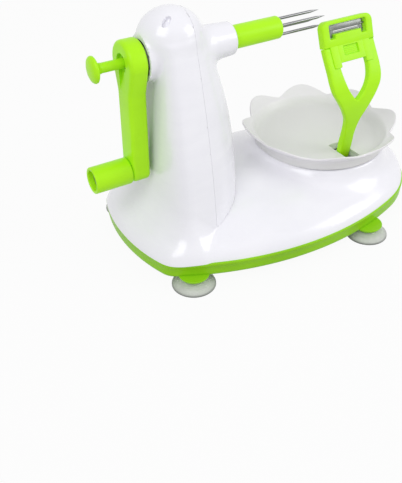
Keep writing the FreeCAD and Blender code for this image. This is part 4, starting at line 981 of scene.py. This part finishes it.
head_half, head_top, head_corner = 22.2, 18.4, 5.2
head_line = [(head_half, 0.2), (head_half, 5.0), (head_half, 10.0)]
head_line += arc(head_half - head_corner, head_top - head_corner, head_corner, 0, math.pi / 2, 12)
head_line += [(-x, t) for x, t in head_line[::-1]]
window_line = [(-16.3, 14.8), (-15.5, 15.6), (15.5, 15.6), (16.3, 14.8), (16.3, 6.3), (15.8, 5.8), (12.1, 5.8),
               (11.6, 6.3), (11.6, 8.8), (-11.6, 8.8), (-11.6, 6.3), (-12.1, 5.8), (-15.8, 5.8), (-16.3, 6.3)]
bar = slab([head_line, window_line], 6.5, 0.9)
tongue_line = box_line(-11.8, 11.8, -11.0, 2.0, 1.0)
tongue_back = lifted(slab([tongue_line], 4.5, 0.4), -0.25)
frame_hole = box_line(-6.5, 6.5, -7.0, -0.9, 0.6)[::-1]
tongue_front = lifted(slab([tongue_line, frame_hole], 1.3, 0.3), 2.5)
tabs = [lifted(slab([box_line(left, right, -14.0, 1.0, 1.2)], 2.2, 0.4), 2.1)
        for left, right in ((-17.5, -11.0), (11.0, 17.5))]
rib_count, rib_step = 5, 1.15
ribs = [lifted(slab([box_line(-5.9, 5.9, -6.5 + rib_step * row, -5.8 + rib_step * row, 0.3, 2)], 0.9, 0.25, steps=2),
               1.95) for row in range(rib_count)]
plug = together(tongue_back, tongue_front, *tabs, *ribs)
plug = (bent([(x, seam_z + t * math.cos(lean), out) for x, t, out in plug[0]]), plug[1])
head_part = together(on_head(bar), plug)
settled("head", mesh_of("head", head_part, green_plastic), "arm", ["blade_head"])

# Blade: a stamped strip of thin stainless steel with a long slit and a hooked ear at each
# end. It swivels on two small pins in the head's window.
blade_steel = ground_steel("blade_steel", (70.0, 3000.0, 4.0), (140.0, 3.0), (0.13, 0.14, 0.13, 1),
                           (0.25, 0.26, 0.25, 1), 0.2, (0.18, 0.25))
blade_line = [(15.2, 10.2), (15.2, 14.9), (14.9, 15.2), (-14.9, 15.2), (-15.2, 14.9), (-15.2, 10.2), (-15.0, 6.9),
              (-14.6, 6.5), (-12.7, 6.5), (-12.3, 6.9), (-12.3, 8.7), (-11.9, 9.1), (11.9, 9.1), (12.3, 8.7),
              (12.3, 6.9), (12.7, 6.5), (14.6, 6.5), (15.0, 6.9)]
slit_line = box_line(-11.4, 11.4, 10.6, 11.1, 0.22, 4)[::-1]
strip = slab([blade_line, slit_line], 0.9, 0.3, steps=3)
pivots = [lathed([(0.0, left), (0.75, left), (0.75, right), (0.0, right)], 24, (12.2, 0.0), along_x=True)
          for left, right in ((-17.1, -12.6), (12.6, 17.1))]
settled("blade", mesh_of("blade", on_head(together(strip, *pivots)), blade_steel), "blade",
        ["swivel_blade"])

# Works inside: plastic gears, bushes and the turntable, and the steel spindle, axles, pins,
# screws and springs that carry them. They keep the shapes they are built with.
gear_plastic = moulded("gear_plastic", (0.72, 0.72, 0.70, 1), (0.66, 0.66, 0.63, 1), 0.42, 0.0, 0.12)
inner_finishes = {"white_plastic": white_plastic, "green_plastic": green_plastic, "bowl_plastic": bowl_plastic,
                  "cup_rubber": cup_rubber, "gear_plastic": gear_plastic, "steel": fork_steel,
                  "blade_steel": blade_steel}
node_slots = {row["node"]: row["material_slot"] for row in frame["record"]["subparts"]}
for name, piece in frame["nodes"].items():
    piece.data.materials.clear()
    piece.data.materials.append(inner_finishes[node_slots[name]])
